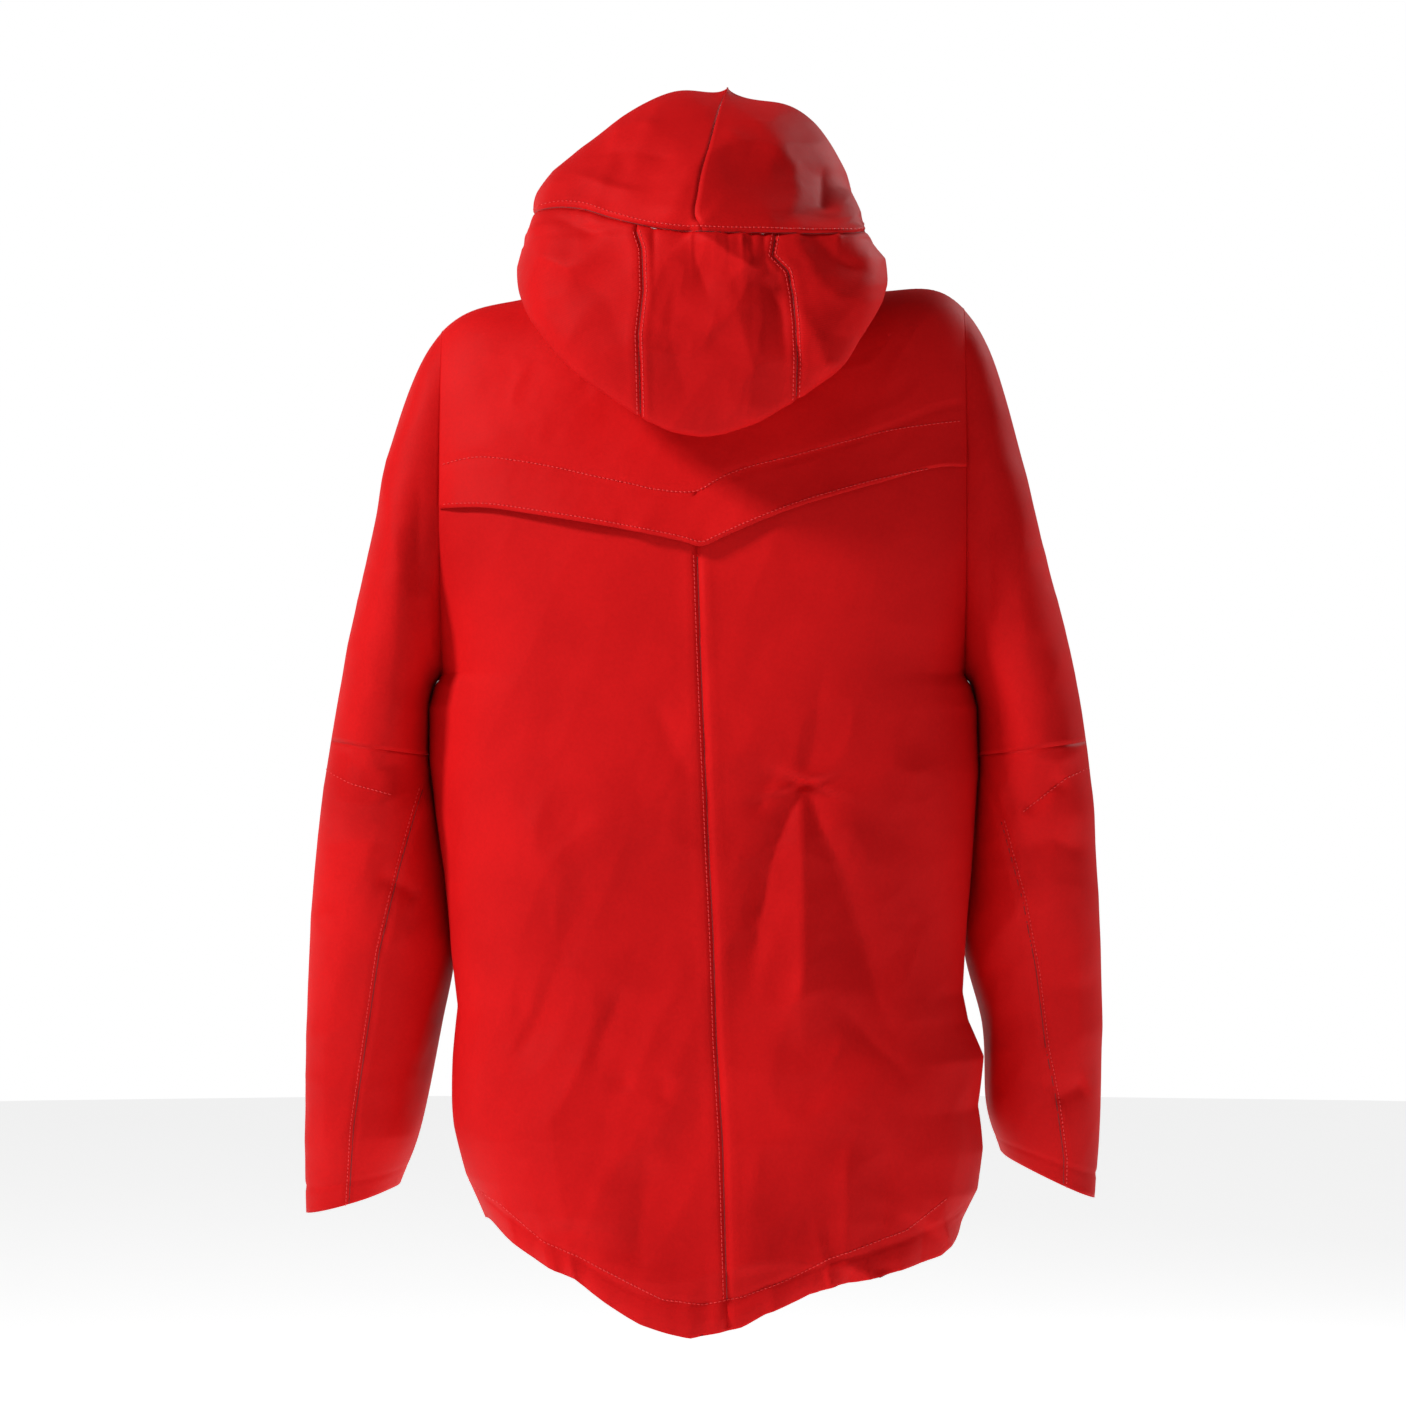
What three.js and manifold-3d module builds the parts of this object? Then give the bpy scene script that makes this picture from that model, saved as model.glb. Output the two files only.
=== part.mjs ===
// A hooded hardshell jacket, back up, hanging from the loop at its neck as if worn by nobody.
// Millimetres, +Z up, the front faces -Y and the wearer's left is +X. The origin is the underside of the hanger loop.
import * as THREE from 'three';
import Module from 'manifold-3d';

const wasm = await Module();
wasm.setup();

// Overall sizes.
const BACK_LENGTH = 766;      // loop to the lowest point of the drop tail
const HALF_WIDTH = 193;       // half the body's width at the waist
const BACK_DEPTH = 124;       // from the body's middle plane to the back
const SLEEVE_REACH = 297;     // outer edge of a sleeve from the middle of the body
const HOOD_HEIGHT = 158;      // crown above the loop
const HANG_Y = 52;            // the loop's distance behind the body's middle plane

// Cloth and gaps.
const CLOTH = 1.9;            // shell laminate with its seam tape
const LINING = 1.1;
const GAP = 0.5;              // between pieces that are sewn to each other
const FLAP_STAND = 1.0;       // clear space under the yoke's loose edge
const TUNNEL = 3.4;           // depth of a drawcord tunnel under the shell
const HOOD_TUNNEL = 6.4;       // the brim's tunnel is deeper, because the brim bends both ways
const CORD_R = 1.1;
const BORE_CLEAR = 0.7;       // all round a drawcord in its lock

// Armholes and elbows.
const ARM_PLANE = 196;
const ARM_GAP = 1.2;
const ELBOW_Z = -365;
const ELBOW_GAP = 1.2;

// Front zip: a straight line in the middle plane.
const ZIP_TOP_Z = 10;
const ZIP_TOP_Y = -85;
const ZIP_SLOPE = 0.058;
const ZIP_LEAN = Math.atan(ZIP_SLOPE);
const ZIP_LENGTH = 652;
const TAPE_HALF = 14;
const COIL_IN = 0.9;
const COIL_OUT = 3.2;
const COIL_H = 1.5;
const SLIDE_CLEAR = 0.4;

// Pocket zips and cuffs.
const POCKET_ZIP = 150;
const POCKET_TAPE_HALF = 7;
const CUFF_FACING = 24;

const V = (x, y, z) => new THREE.Vector3(x, y, z);
const clamp = (x, a, b) => Math.min(Math.max(x, a), b);
const ease = (x) => {
  const c = clamp(x, 0, 1);
  return c * c * (3 - 2 * c);
};
const mix = (a, b, w) => a + (b - a) * w;

const colours = {
  shell: 0xc8141a,
  lining: 0x4a0c10,
  coil: 0x2a0a0c,
  metal: 0x8a8d90,
  plastic: 0x1c1c1e,
  cord: 0x2a2a2c,
  loop: 0x3a0a0e,
  webbing: 0x202022,
};
const jacket = new THREE.Group();
jacket.name = 'hardshell_jacket';

function place(parent, name, geometry, look) {
  const rough = look === 'metal' ? 0.35 : 0.8;
  const material = new THREE.MeshStandardMaterial({ color: colours[look], roughness: rough });
  material.metalness = look === 'metal' ? 0.9 : 0;
  const mesh = new THREE.Mesh(geometry, material);
  mesh.name = name;
  parent.add(mesh);
  return mesh;
}

// A smooth curve through rows of [position, ...values].
function spline(rows) {
  const slope = (i, k) => {
    const a = rows[Math.max(i - 1, 0)];
    const b = rows[Math.min(i + 1, rows.length - 1)];
    return (b[k] - a[k]) / (b[0] - a[0]);
  };
  return (x, k = 1) => {
    let i = 0;
    while (i < rows.length - 2 && x > rows[i + 1][0]) i += 1;
    const [a, b] = [rows[i], rows[i + 1]];
    const d = b[0] - a[0];
    const t = (x - a[0]) / d;
    const t2 = t * t;
    const t3 = t2 * t;
    return a[k] * (2 * t3 - 3 * t2 + 1) + b[k] * (3 * t2 - 2 * t3)
      + d * (slope(i, k) * (t3 - 2 * t2 + t) + slope(i + 1, k) * (t3 - t2));
  };
}

// A thin closed solid: face(u, v) is its outer face, and the inner face lies thick along the normal.
// trim keeps a point on its own side of a cut, and warp moves the whole finished piece.
function shell(face, cols, rows, thick, { wrap = false, flip = false, lift = 0, trim, warp } = {}) {
  const n = wrap ? cols : cols + 1;
  const outer = [];
  const inner = [];
  const e = 1e-3;
  for (let j = 0; j <= rows; j += 1) {
    for (let i = 0; i < n; i += 1) {
      const u = i / cols;
      const v = j / rows;
      const p = face(u, v);
      const low = wrap ? u - e : Math.max(u - e, 0);
      const high = wrap ? u + e : Math.min(u + e, 1);
      const du = face(high, v).sub(face(low, v));
      const dv = face(u, Math.min(v + e, 1)).sub(face(u, Math.max(v - e, 0)));
      const normal = du.cross(dv).normalize().multiplyScalar(flip ? -1 : 1);
      for (const [list, depth] of [[outer, lift], [inner, lift - thick]]) {
        let q = p.clone().addScaledVector(normal, depth);
        if (trim) q = trim(q, u, v);
        if (warp) q = warp(q);
        list.push(q);
      }
    }
  }
  const points = [...outer, ...inner].flatMap((q) => q.toArray());
  const half = outer.length;
  const index = [];
  const at = (i, j) => j * n + (i % n);
  const quad = (a, b, c, d) => {
    const order = flip ? [a, d, c, b] : [a, b, c, d];
    index.push(order[0], order[1], order[2], order[0], order[2], order[3]);
  };
  for (let j = 0; j < rows; j += 1) {
    for (let i = 0; i < cols; i += 1) {
      const [a, b, c, d] = [at(i, j), at(i + 1, j), at(i + 1, j + 1), at(i, j + 1)];
      quad(a, b, c, d);
      quad(half + a, half + d, half + c, half + b);
    }
  }
  for (let i = 0; i < cols; i += 1) {
    quad(at(i + 1, 0), at(i, 0), half + at(i, 0), half + at(i + 1, 0));
    quad(at(i, rows), at(i + 1, rows), half + at(i + 1, rows), half + at(i, rows));
  }
  if (!wrap) {
    for (let j = 0; j < rows; j += 1) {
      quad(at(0, j), at(0, j + 1), half + at(0, j + 1), half + at(0, j));
      quad(at(cols, j + 1), at(cols, j), half + at(cols, j), half + at(cols, j + 1));
    }
  }
  const geometry = new THREE.BufferGeometry();
  geometry.setAttribute('position', new THREE.Float32BufferAttribute(points, 3));
  geometry.setIndex(index);
  geometry.computeVertexNormals();
  return geometry;
}

// Solids that are joined or cut.
function solid(geometry) {
  const soup = geometry.index ? geometry.toNonIndexed() : geometry;
  const array = soup.attributes.position.array;
  const seen = new Map();
  const vertices = [];
  const triangles = [];
  for (let i = 0; i < array.length; i += 9) {
    const corner = [];
    for (let k = 0; k < 9; k += 3) {
      const p = [array[i + k], array[i + k + 1], array[i + k + 2]];
      const key = p.map((x) => Math.round(x * 1e4)).join();
      if (!seen.has(key)) {
        seen.set(key, vertices.length / 3);
        vertices.push(...p);
      }
      corner.push(seen.get(key));
    }
    if (new Set(corner).size === 3) triangles.push(...corner);
  }
  return new wasm.Manifold(new wasm.Mesh({
    numProp: 3,
    vertProperties: new Float32Array(vertices),
    triVerts: new Uint32Array(triangles),
  }));
}

function meshOf(manifold) {
  const made = manifold.getMesh();
  const geometry = new THREE.BufferGeometry();
  geometry.setAttribute('position', new THREE.Float32BufferAttribute(made.vertProperties, 3));
  geometry.setIndex(Array.from(made.triVerts));
  geometry.computeVertexNormals();
  return geometry;
}

const box = (x0, x1, y0, y1, z0, z1) => new THREE.BoxGeometry(x1 - x0, y1 - y0, z1 - z0)
  .translate((x0 + x1) / 2, (y0 + y1) / 2, (z0 + z1) / 2);

function rod(radius, length, axis, sides = 14) {
  const geometry = new THREE.CylinderGeometry(radius, radius, length, sides);
  if (axis === 'x') geometry.rotateZ(Math.PI / 2);
  if (axis === 'z') geometry.rotateX(Math.PI / 2);
  return geometry;
}

function extruded(outline, z0, z1) {
  const shape = new THREE.Shape(outline.map(([x, y]) => new THREE.Vector2(x, y)));
  return new THREE.ExtrudeGeometry(shape, { depth: z1 - z0, bevelEnabled: false }).translate(0, 0, z0);
}

function cordAlong(points, steps, sides = 6) {
  const path = new THREE.CatmullRomCurve3(points, false, 'centripetal');
  const ring = [];
  for (let i = 0; i < sides; i += 1) {
    const a = (i / sides) * Math.PI * 2;
    ring.push(new THREE.Vector2(CORD_R * Math.cos(a), CORD_R * Math.sin(a)));
  }
  return new THREE.ExtrudeGeometry(new THREE.Shape(ring), { steps, extrudePath: path });
}

// ---------------------------------------------------------------- body

// Rings round the body from hem (0) to neck (1):
// half width, z at the side, front and back, y of the back, y of the sides, roundness of the plan.
const rings = spline([
  [0.00, HALF_WIDTH - 23, -690, -652, -BACK_LENGTH, BACK_DEPTH + 3, 4, 2.4],
  [0.12, HALF_WIDTH - 2, -600, -578, -660, BACK_DEPTH + 8, 4, 2.4],
  [0.33, HALF_WIDTH - 1, -450, -440, -478, BACK_DEPTH + 1, 5, 2.4],
  [0.56, HALF_WIDTH + 2, -290, -310, -295, BACK_DEPTH + 1, 7, 2.4],
  [0.74, HALF_WIDTH + 28, -150, -190, -152, BACK_DEPTH - 8, 8, 2.4],
  [0.885, HALF_WIDTH + 5, -31, -100, -48, BACK_DEPTH - 40, 6, 2.3],
  [1.00, 78, 24, -60, -6, 62, -8, 2.1],
]);
const power = (x, p) => Math.sign(x) * Math.abs(x) ** p;
const zipY = (z) => ZIP_TOP_Y - ZIP_SLOPE * (ZIP_TOP_Z - z);

// Point of a ring at angle t: 0 is the wearer's left side, 90 degrees the back, -90 the front.
function ringPoint(t, half, zSide, zFront, zBack, yBack, ySide, round) {
  const s = Math.sin(t);
  const rise = Math.abs(s) ** 2.4;
  const y = s >= 0
    ? ySide + (yBack - ySide) * power(s, 2 / round)
    : ySide + (ySide - zipY(zFront)) * power(s, 2 / round);
  return V(half * power(Math.cos(t), 2 / round), y, zSide + ((s >= 0 ? zBack : zFront) - zSide) * rise);
}
const bodyPoint = (t, h) => ringPoint(t, ...[1, 2, 3, 4, 5, 6, 7].map((k) => rings(h, k)));

// The angle at which a ring is d from its middle plane, and the angle at which it meets an armhole.
const angleAtX = (h, x) => Math.acos(clamp((x / rings(h, 1)) ** (rings(h, 7) / 2), 0, 1));
function sideAngle(h) {
  const seam = Math.asin((GAP / 120) ** (rings(h, 7) / 2));
  return Math.max(seam, rings(h, 1) > ARM_PLANE ? angleAtX(h, ARM_PLANE) : 0);
}

// Keeps a panel inside the armhole planes, a little more with each column away from the armhole.
const inPlane = (q, u) => {
  const limit = ARM_PLANE - 4 * clamp(u, 0, 1);
  return V(clamp(q.x, -limit, limit), q.y, q.z);
};
const inPlanes = (q, u) => inPlane(q, Math.min(u, 1 - u));

// Loose lower edge of the yoke, and the stitch line above it to which the lower back reaches.
const yokeEdge = spline([
  [-200, -131], [-170, -132], [-136, -139], [-101, -148.5], [-67, -159], [-32, -173], [-12, -182], [1, -187.5],
  [14, -184], [37, -179], [79, -171], [124, -163.5], [162, -158], [200, -158],
]);
const yokeStitch = spline([
  [-200, -93], [-141, -102], [-101, -112.5], [-67, -122], [-32, -131], [-12, -139], [5, -148.5],
  [36, -147], [55, -142.5], [81, -137], [106, -131], [141, -124.5], [169, -122], [200, -128],
]);

// The ring height at which the line of constant u meets a drawn edge.
function heightAt(point, edge, low, high) {
  let [a, b] = [low, high];
  for (let i = 0; i < 30; i += 1) {
    const h = (a + b) / 2;
    const p = point(h);
    if (p.z > edge(p.x)) b = h;
    else a = h;
  }
  return (a + b) / 2;
}

// Spreads rows so that one of them meets the top of the armhole.
function stepped(list) {
  return (v) => {
    const x = clamp(v, 0, 1) * (list.length - 1);
    const i = Math.min(Math.floor(x), list.length - 2);
    return mix(list[i], list[i + 1], x - i);
  };
}
const armLow = heightWhere(0.45, 0.74);
const armHigh = heightWhere(0.99, 0.8);
function heightWhere(outside, inside) {
  let [a, b] = [outside, inside];
  for (let i = 0; i < 40; i += 1) {
    const h = (a + b) / 2;
    if (rings(h, 1) > ARM_PLANE) b = h;
    else a = h;
  }
  return (a + b) / 2;
}

function backPanel(side) {
  const along = (u, h) => {
    const p = bodyPoint(mix(sideAngle(h), angleAtX(h, GAP / 2 + 0.1), u), h);
    p.x *= side;
    return p;
  };
  const top = (u) => heightAt((h) => along(u, h), yokeStitch, 0.3, 0.98);
  const rise = stepped([0, 0.04, 0.1, 0.18, 0.28, 0.39, 0.5, 0.6, 0.68, 0.74, 0.8, 0.87, 0.94, 1]);
  const face = (u, v) => along(u, rise(v) * top(u));
  return shell(face, 10, 13, CLOTH, { flip: side < 0, trim: inPlane });
}

function yoke() {
  const along = (u, h) => {
    const t0 = sideAngle(h);
    return bodyPoint(mix(t0, Math.PI - t0, u), h);
  };
  const low = (u) => heightAt((h) => along(u, h), yokeEdge, 0.3, 0.98);
  const face = (u, v) => {
    const above = mix(armHigh, 0.996, (v - 0.6) / 0.4);
    return along(u, v < 0.6 ? mix(low(u), armHigh, Math.sin((v / 0.6) * Math.PI / 2)) : above);
  };
  return shell(face, 20, 10, CLOTH, { lift: FLAP_STAND + CLOTH, trim: inPlanes });
}

function frontPanel(side) {
  const rise = stepped([
    0, 0.05, 0.12, 0.22, 0.33, 0.45, armLow, 0.6, 0.64, 0.7, 0.76, 0.81, 0.85, 0.875, armHigh, 0.93, 0.965, 0.994,
  ]);
  const face = (u, v) => {
    const h = rise(v);
    const p = bodyPoint(-mix(sideAngle(h), angleAtX(h, TAPE_HALF + GAP), u), h);
    p.x *= side;
    return p;
  };
  return shell(face, 9, 17, CLOTH, { flip: side > 0, trim: inPlane });
}

const body = new THREE.Group();
body.name = 'body';
jacket.add(body);
for (const [side, word] of [[1, 'left'], [-1, 'right']]) {
  place(body, `back_${word}_panel`, backPanel(side), 'shell');
  place(body, `front_${word}_panel`, frontPanel(side), 'shell');
}
place(body, 'back_yoke', yoke(), 'shell');

// ---------------------------------------------------------------- collar

const seamRing = (t) => ringPoint(t, 77, 34, ZIP_TOP_Z, 8, 64, -8, 2.1);
const chinAngle = -Math.acos(((TAPE_HALF + GAP) / 77) ** 1.05);

function collar() {
  const turn = (u, half) => {
    const t1 = -Math.acos(((TAPE_HALF + GAP) / half) ** 1.05);
    return mix(t1, Math.PI - t1, u);
  };
  const face = (u, v) => {
    const w = mix(0.03, 0.92, v);
    return bodyPoint(turn(u, 78), 1).lerp(seamRing(turn(u, 77)), w);
  };
  return shell(face, 28, 2, CLOTH);
}
place(body, 'collar', collar(), 'shell');

// Hanger loop: a flat strap bridging two short legs inside the back of the collar.
const LOOP_HALF = 22;
const LOOP_WIDTH = 8;
const LOOP_THICK = 1.6;
const LOOP_DROP = 15;
function hangerLoop() {
  const outline = [
    [-LOOP_HALF - LOOP_THICK, -LOOP_DROP], [-LOOP_HALF, -LOOP_DROP], [-LOOP_HALF, 0], [LOOP_HALF, 0],
    [LOOP_HALF, -LOOP_DROP], [LOOP_HALF + LOOP_THICK, -LOOP_DROP], [LOOP_HALF + LOOP_THICK, LOOP_THICK],
    [-LOOP_HALF - LOOP_THICK, LOOP_THICK],
  ];
  const geometry = extruded(outline, -LOOP_WIDTH / 2, LOOP_WIDTH / 2);
  return geometry.rotateX(Math.PI / 2).translate(0, HANG_Y, 0);
}
place(body, 'hanger_loop', hangerLoop(), 'webbing');

// ---------------------------------------------------------------- main zip

const zip = new THREE.Group();
zip.name = 'main_zip';
zip.position.set(0, ZIP_TOP_Y, ZIP_TOP_Z);
zip.rotation.x = -ZIP_LEAN;
body.add(zip);

function zipTape(side) {
  const outline = [
    [COIL_IN, -COIL_H], [COIL_OUT, -COIL_H], [COIL_OUT, -0.6], [TAPE_HALF, -0.6],
    [TAPE_HALF, 0.6], [COIL_OUT, 0.6], [COIL_OUT, COIL_H], [COIL_IN, COIL_H],
  ].map(([x, y]) => [side * x, y]);
  return extruded(side > 0 ? outline : outline.reverse(), -ZIP_LENGTH, 0);
}
place(zip, 'zip_tape_left', zipTape(1), 'coil');
place(zip, 'zip_tape_right', zipTape(-1), 'coil');

// Retainer box round the lower end of both coils.
function zipBox() {
  const [w, d] = [COIL_OUT + 1.6, COIL_H + 1.6];
  const block = solid(box(-w, w, -d, d, -ZIP_LENGTH - 4, -ZIP_LENGTH + 9));
  const [sw, sd] = [COIL_OUT + SLIDE_CLEAR, COIL_H + SLIDE_CLEAR];
  const well = solid(box(-sw, sw, -sd, sd, -ZIP_LENGTH - GAP, -ZIP_LENGTH + 20));
  const slot = solid(box(-20, 20, -0.6 - SLIDE_CLEAR, 0.6 + SLIDE_CLEAR, -ZIP_LENGTH - GAP, -ZIP_LENGTH + 20));
  return meshOf(block.subtract(well).subtract(slot).add(solid(box(-0.4, 0.4, -d, d, -ZIP_LENGTH - 4, -ZIP_LENGTH + 9))));
}
place(zip, 'zip_box', zipBox(), 'plastic');

// Slider: two plates joined by a web between the coils, with a bail for the pull.
const SLIDER_LEN = 15;
const PLATE = 1.5;
const BAIL_Y = -(COIL_H + SLIDE_CLEAR + PLATE + 2.0);
function bail(y, zMid) {
  const arch = solid(box(-1.6, 1.6, y - 2, y + 2.2, zMid - 3, zMid + 3));
  return arch.subtract(solid(rod(1.3, 8, 'x').translate(0, y, zMid)));
}
function sliderPlate(y0, y1, wide, narrow, z0) {
  const outline = [
    [-wide, 0], [-wide, -4], [-narrow, -SLIDER_LEN], [narrow, -SLIDER_LEN], [wide, -4], [wide, 0], [wide - 2, 2], [-wide + 2, 2],
  ];
  const plate = extruded(outline, y0, y1).rotateX(Math.PI / 2).translate(0, 0, 0);
  return solid(plate.translate(0, y0 + y1, z0));
}
function mainSlider(z0) {
  const inner = COIL_H + SLIDE_CLEAR;
  const front = sliderPlate(-inner - PLATE, -inner, 6.2, 4.6, z0);
  const back = sliderPlate(inner, inner + PLATE, 6.2, 4.6, z0);
  const web = solid(box(-0.45, 0.45, -inner - 0.5, inner + 0.5, z0 - SLIDER_LEN + 2, z0));
  return meshOf(front.add(back).add(web).add(bail(BAIL_Y, z0 - 5)));
}
const SLIDER_TOP = -14;
place(zip, 'main_slider', mainSlider(SLIDER_TOP), 'metal');

// Pull: a flat frame whose top bar passes through the bail, with a longer moulded grip below.
function pull(barY, barZ, length) {
  const out = 3.6;
  const inside = 2.2;
  const frame = solid(box(-out, out, barY - 0.7, barY + 0.7, barZ - 6.5, barZ + 0.8));
  const window = solid(box(-inside, inside, barY - 3, barY + 3, barZ - 4.6, barZ - 0.8));
  const grip = [[-out, 0], [-out - 0.8, -length * 0.5], [-out, -length], [out, -length], [out + 0.8, -length * 0.5], [out, 0]];
  const tab = extruded(grip, -1.1, 1.1).rotateX(Math.PI / 2).translate(0, barY, barZ - 6);
  return meshOf(frame.subtract(window).add(solid(tab)));
}
place(zip, 'main_pull', pull(BAIL_Y, SLIDER_TOP - 5, 24), 'plastic');

// Inner storm flap behind the zip.
function stormFlap() {
  const outline = [[-18, 7.5], [26, 7.5], [26, 8.8], [-18, 8.8]];
  return extruded(outline, -ZIP_LENGTH + 18, -3);
}
place(zip, 'storm_flap', stormFlap(), 'lining');

// ---------------------------------------------------------------- hand pockets

// Each pocket zip is a straight covered strip with a raised coil, laid on the front; its slider rides the coil.
const STRIP = 1.2;
const COIL_RISE = 1.4;
const POCKET_LIFT = 1.5;
const POCKET_SLIDER = 12;
const POCKET_BAIL_Y = -(STRIP + COIL_RISE + SLIDE_CLEAR + 1.6 + 2.0);
function pocketEnds(side) {
  const [top, low] = [[0.44, 108], [0.215, 140]].map(([h, x]) => bodyPoint(-angleAtX(h, x), h));
  const mid = bodyPoint(-angleAtX(0.33, 124), 0.33);
  const round = bodyPoint(-angleAtX(0.33, 125), 0.33).sub(mid);
  const up = top.clone().sub(low).normalize();
  const out = round.cross(up).normalize();
  if (out.y > 0) out.negate();
  for (const p of [top, low, up, out]) p.x *= side;
  return { top: top.addScaledVector(out, POCKET_LIFT), low: low.addScaledVector(out, POCKET_LIFT), up, out };
}
function pocketStrip(length) {
  const half = POCKET_TAPE_HALF;
  return extruded([
    [-half, -STRIP], [-1.5, -STRIP], [-1.5, -STRIP - COIL_RISE], [1.5, -STRIP - COIL_RISE], [1.5, -STRIP],
    [half, -STRIP], [half, 0], [-half, 0],
  ], -length, 0);
}
function pocketSlider(z0) {
  const low = -STRIP - SLIDE_CLEAR;
  const roof = -STRIP - COIL_RISE - SLIDE_CLEAR;
  const outline = [
    [-4.4, low], [-4.4, roof - 1], [-3.6, roof - 1.6], [3.6, roof - 1.6], [4.4, roof - 1], [4.4, low],
    [1.9, low], [1.9, roof], [-1.9, roof], [-1.9, low],
  ].reverse();
  return meshOf(solid(extruded(outline, z0 - POCKET_SLIDER, z0)).add(bail(POCKET_BAIL_Y, z0 - 4)));
}
function pocketBag(side) {
  const face = (u, v) => {
    const h = mix(0.13, 0.47, v);
    const p = bodyPoint(-mix(angleAtX(h, 166), angleAtX(h, 44), u), h);
    p.x *= side;
    return p;
  };
  return shell(face, 6, 6, LINING, { flip: side > 0, lift: -CLOTH - 5 });
}
for (const [side, word] of [[1, 'left'], [-1, 'right']]) {
  const { top, low, up, out } = pocketEnds(side);
  const pocket = new THREE.Group();
  pocket.name = `${word}_pocket`;
  const back = out.clone().negate();
  pocket.quaternion.setFromRotationMatrix(new THREE.Matrix4().makeBasis(back.clone().cross(up), back, up));
  pocket.position.copy(top);
  body.add(pocket);
  place(pocket, `pocket_zip_${word}`, pocketStrip(top.distanceTo(low)), 'coil');
  place(pocket, `pocket_slider_${word}`, pocketSlider(-3), 'metal');
  place(pocket, `pocket_pull_${word}`, pull(POCKET_BAIL_Y, -7, 18), 'plastic');
  place(body, `pocket_bag_${word}`, pocketBag(side), 'lining');
}

// ---------------------------------------------------------------- hem

const HEM_FACING_H = 0.033;
const facingAngle = (h) => angleAtX(h, 116);
function hemFacing() {
  const face = (u, v) => {
    const h = mix(0.002, HEM_FACING_H, v);
    const t = facingAngle(h);
    return bodyPoint(mix(-t, Math.PI + t, u), h);
  };
  return shell(face, 32, 1, LINING, { lift: -CLOTH - TUNNEL });
}
place(body, 'hem_facing', hemFacing(), 'lining');

// A lock: a barrel with a cross bore for the cord and a sprung button with a longer slot for the same cord.
const LOCK_R = 5.6;
const LOCK_LEN = 15;
const BUTTON_R = 3.2;
const PRESS = 3;
function lockBarrel() {
  const profile = [
    [0, -LOCK_LEN / 2], [LOCK_R - 1, -LOCK_LEN / 2], [LOCK_R, -LOCK_LEN / 2 + 1.5], [LOCK_R, LOCK_LEN / 2 - 2],
    [LOCK_R - 1, LOCK_LEN / 2], [BUTTON_R + SLIDE_CLEAR, LOCK_LEN / 2], [BUTTON_R + SLIDE_CLEAR, -LOCK_LEN / 2 + 2],
    [0, -LOCK_LEN / 2 + 2],
  ].map(([x, y]) => new THREE.Vector2(x, y));
  const barrel = solid(new THREE.LatheGeometry(profile, 18).rotateX(Math.PI / 2));
  return barrel.subtract(solid(rod(CORD_R + BORE_CLEAR, 30, 'x', 12)));
}
function lockButton() {
  const low = -LOCK_LEN / 2 + 2 + PRESS + 0.6;
  const high = LOCK_LEN / 2 + PRESS + 1.5;
  const stem = solid(rod(BUTTON_R, high - low, 'z', 16).translate(0, 0, (low + high) / 2));
  const reach = CORD_R + BORE_CLEAR;
  const slot = solid(box(-10, 10, -reach, reach, low - 1, PRESS + reach));
  return stem.subtract(slot);
}

// Hem drawcord: round the tunnel, then inwards to the two locks beside the zip.
const LOCK_X = 44;
const CORD_H = 0.016;
const LOCK_DEPTH = 10.5;
function hemCordPoints() {
  const points = [];
  const steps = 36;
  const normalAt = (t) => {
    const e = 1e-3;
    const du = bodyPoint(t + e, CORD_H).sub(bodyPoint(t - e, CORD_H));
    const dv = bodyPoint(t, CORD_H + e).sub(bodyPoint(t, CORD_H - e));
    return du.cross(dv).normalize();
  };
  const t1 = angleAtX(CORD_H, 80);
  for (let i = 0; i <= steps; i += 1) {
    const t = mix(-t1, Math.PI + t1, i / steps);
    const nearEnd = 0.9 * (1 - ease(Math.min(i, steps - i) / 3));
    points.push(bodyPoint(t, CORD_H).addScaledVector(normalAt(t), -CLOTH - TUNNEL / 2 - nearEnd));
  }
  const lock = lockCentre();
  const ends = [LOCK_X - 12, LOCK_X - 4, LOCK_X + 8].map((x) => V(x, lock.y, lock.z));
  return [...ends, ...points, ...ends.reverse().map((p) => V(-p.x, p.y, p.z))];
}
function lockCentre() {
  const p = bodyPoint(-angleAtX(CORD_H, LOCK_X), CORD_H);
  return V(LOCK_X, p.y + LOCK_DEPTH, p.z);
}
place(body, 'hem_drawcord', cordAlong(hemCordPoints(), 64, 5), 'cord');
for (const [side, word] of [[1, 'left'], [-1, 'right']]) {
  const c = lockCentre();
  const barrel = meshOf(lockBarrel()).translate(side * c.x, c.y, c.z);
  place(body, `hem_lock_${word}`, barrel, 'plastic');
  place(body, `hem_button_${word}`, meshOf(lockButton()).translate(side * c.x, c.y, c.z), 'plastic');
}

// ---------------------------------------------------------------- sleeves

// Armhole outline, c from 1 at the shoulder to -1 under the arm, on the back or the front branch.
function armholePoint(c, back) {
  const at = (h) => bodyPoint((back ? 1 : -1) * angleAtX(h, ARM_PLANE), h);
  const z = mix(bodyPoint(0, armLow).z, bodyPoint(0, armHigh).z, (c + 1) / 2);
  let [a, b] = [armLow, armHigh];
  for (let i = 0; i < 36; i += 1) {
    const h = (a + b) / 2;
    if (at(h).z < z) a = h;
    else b = h;
  }
  return at((a + b) / 2);
}

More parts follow.
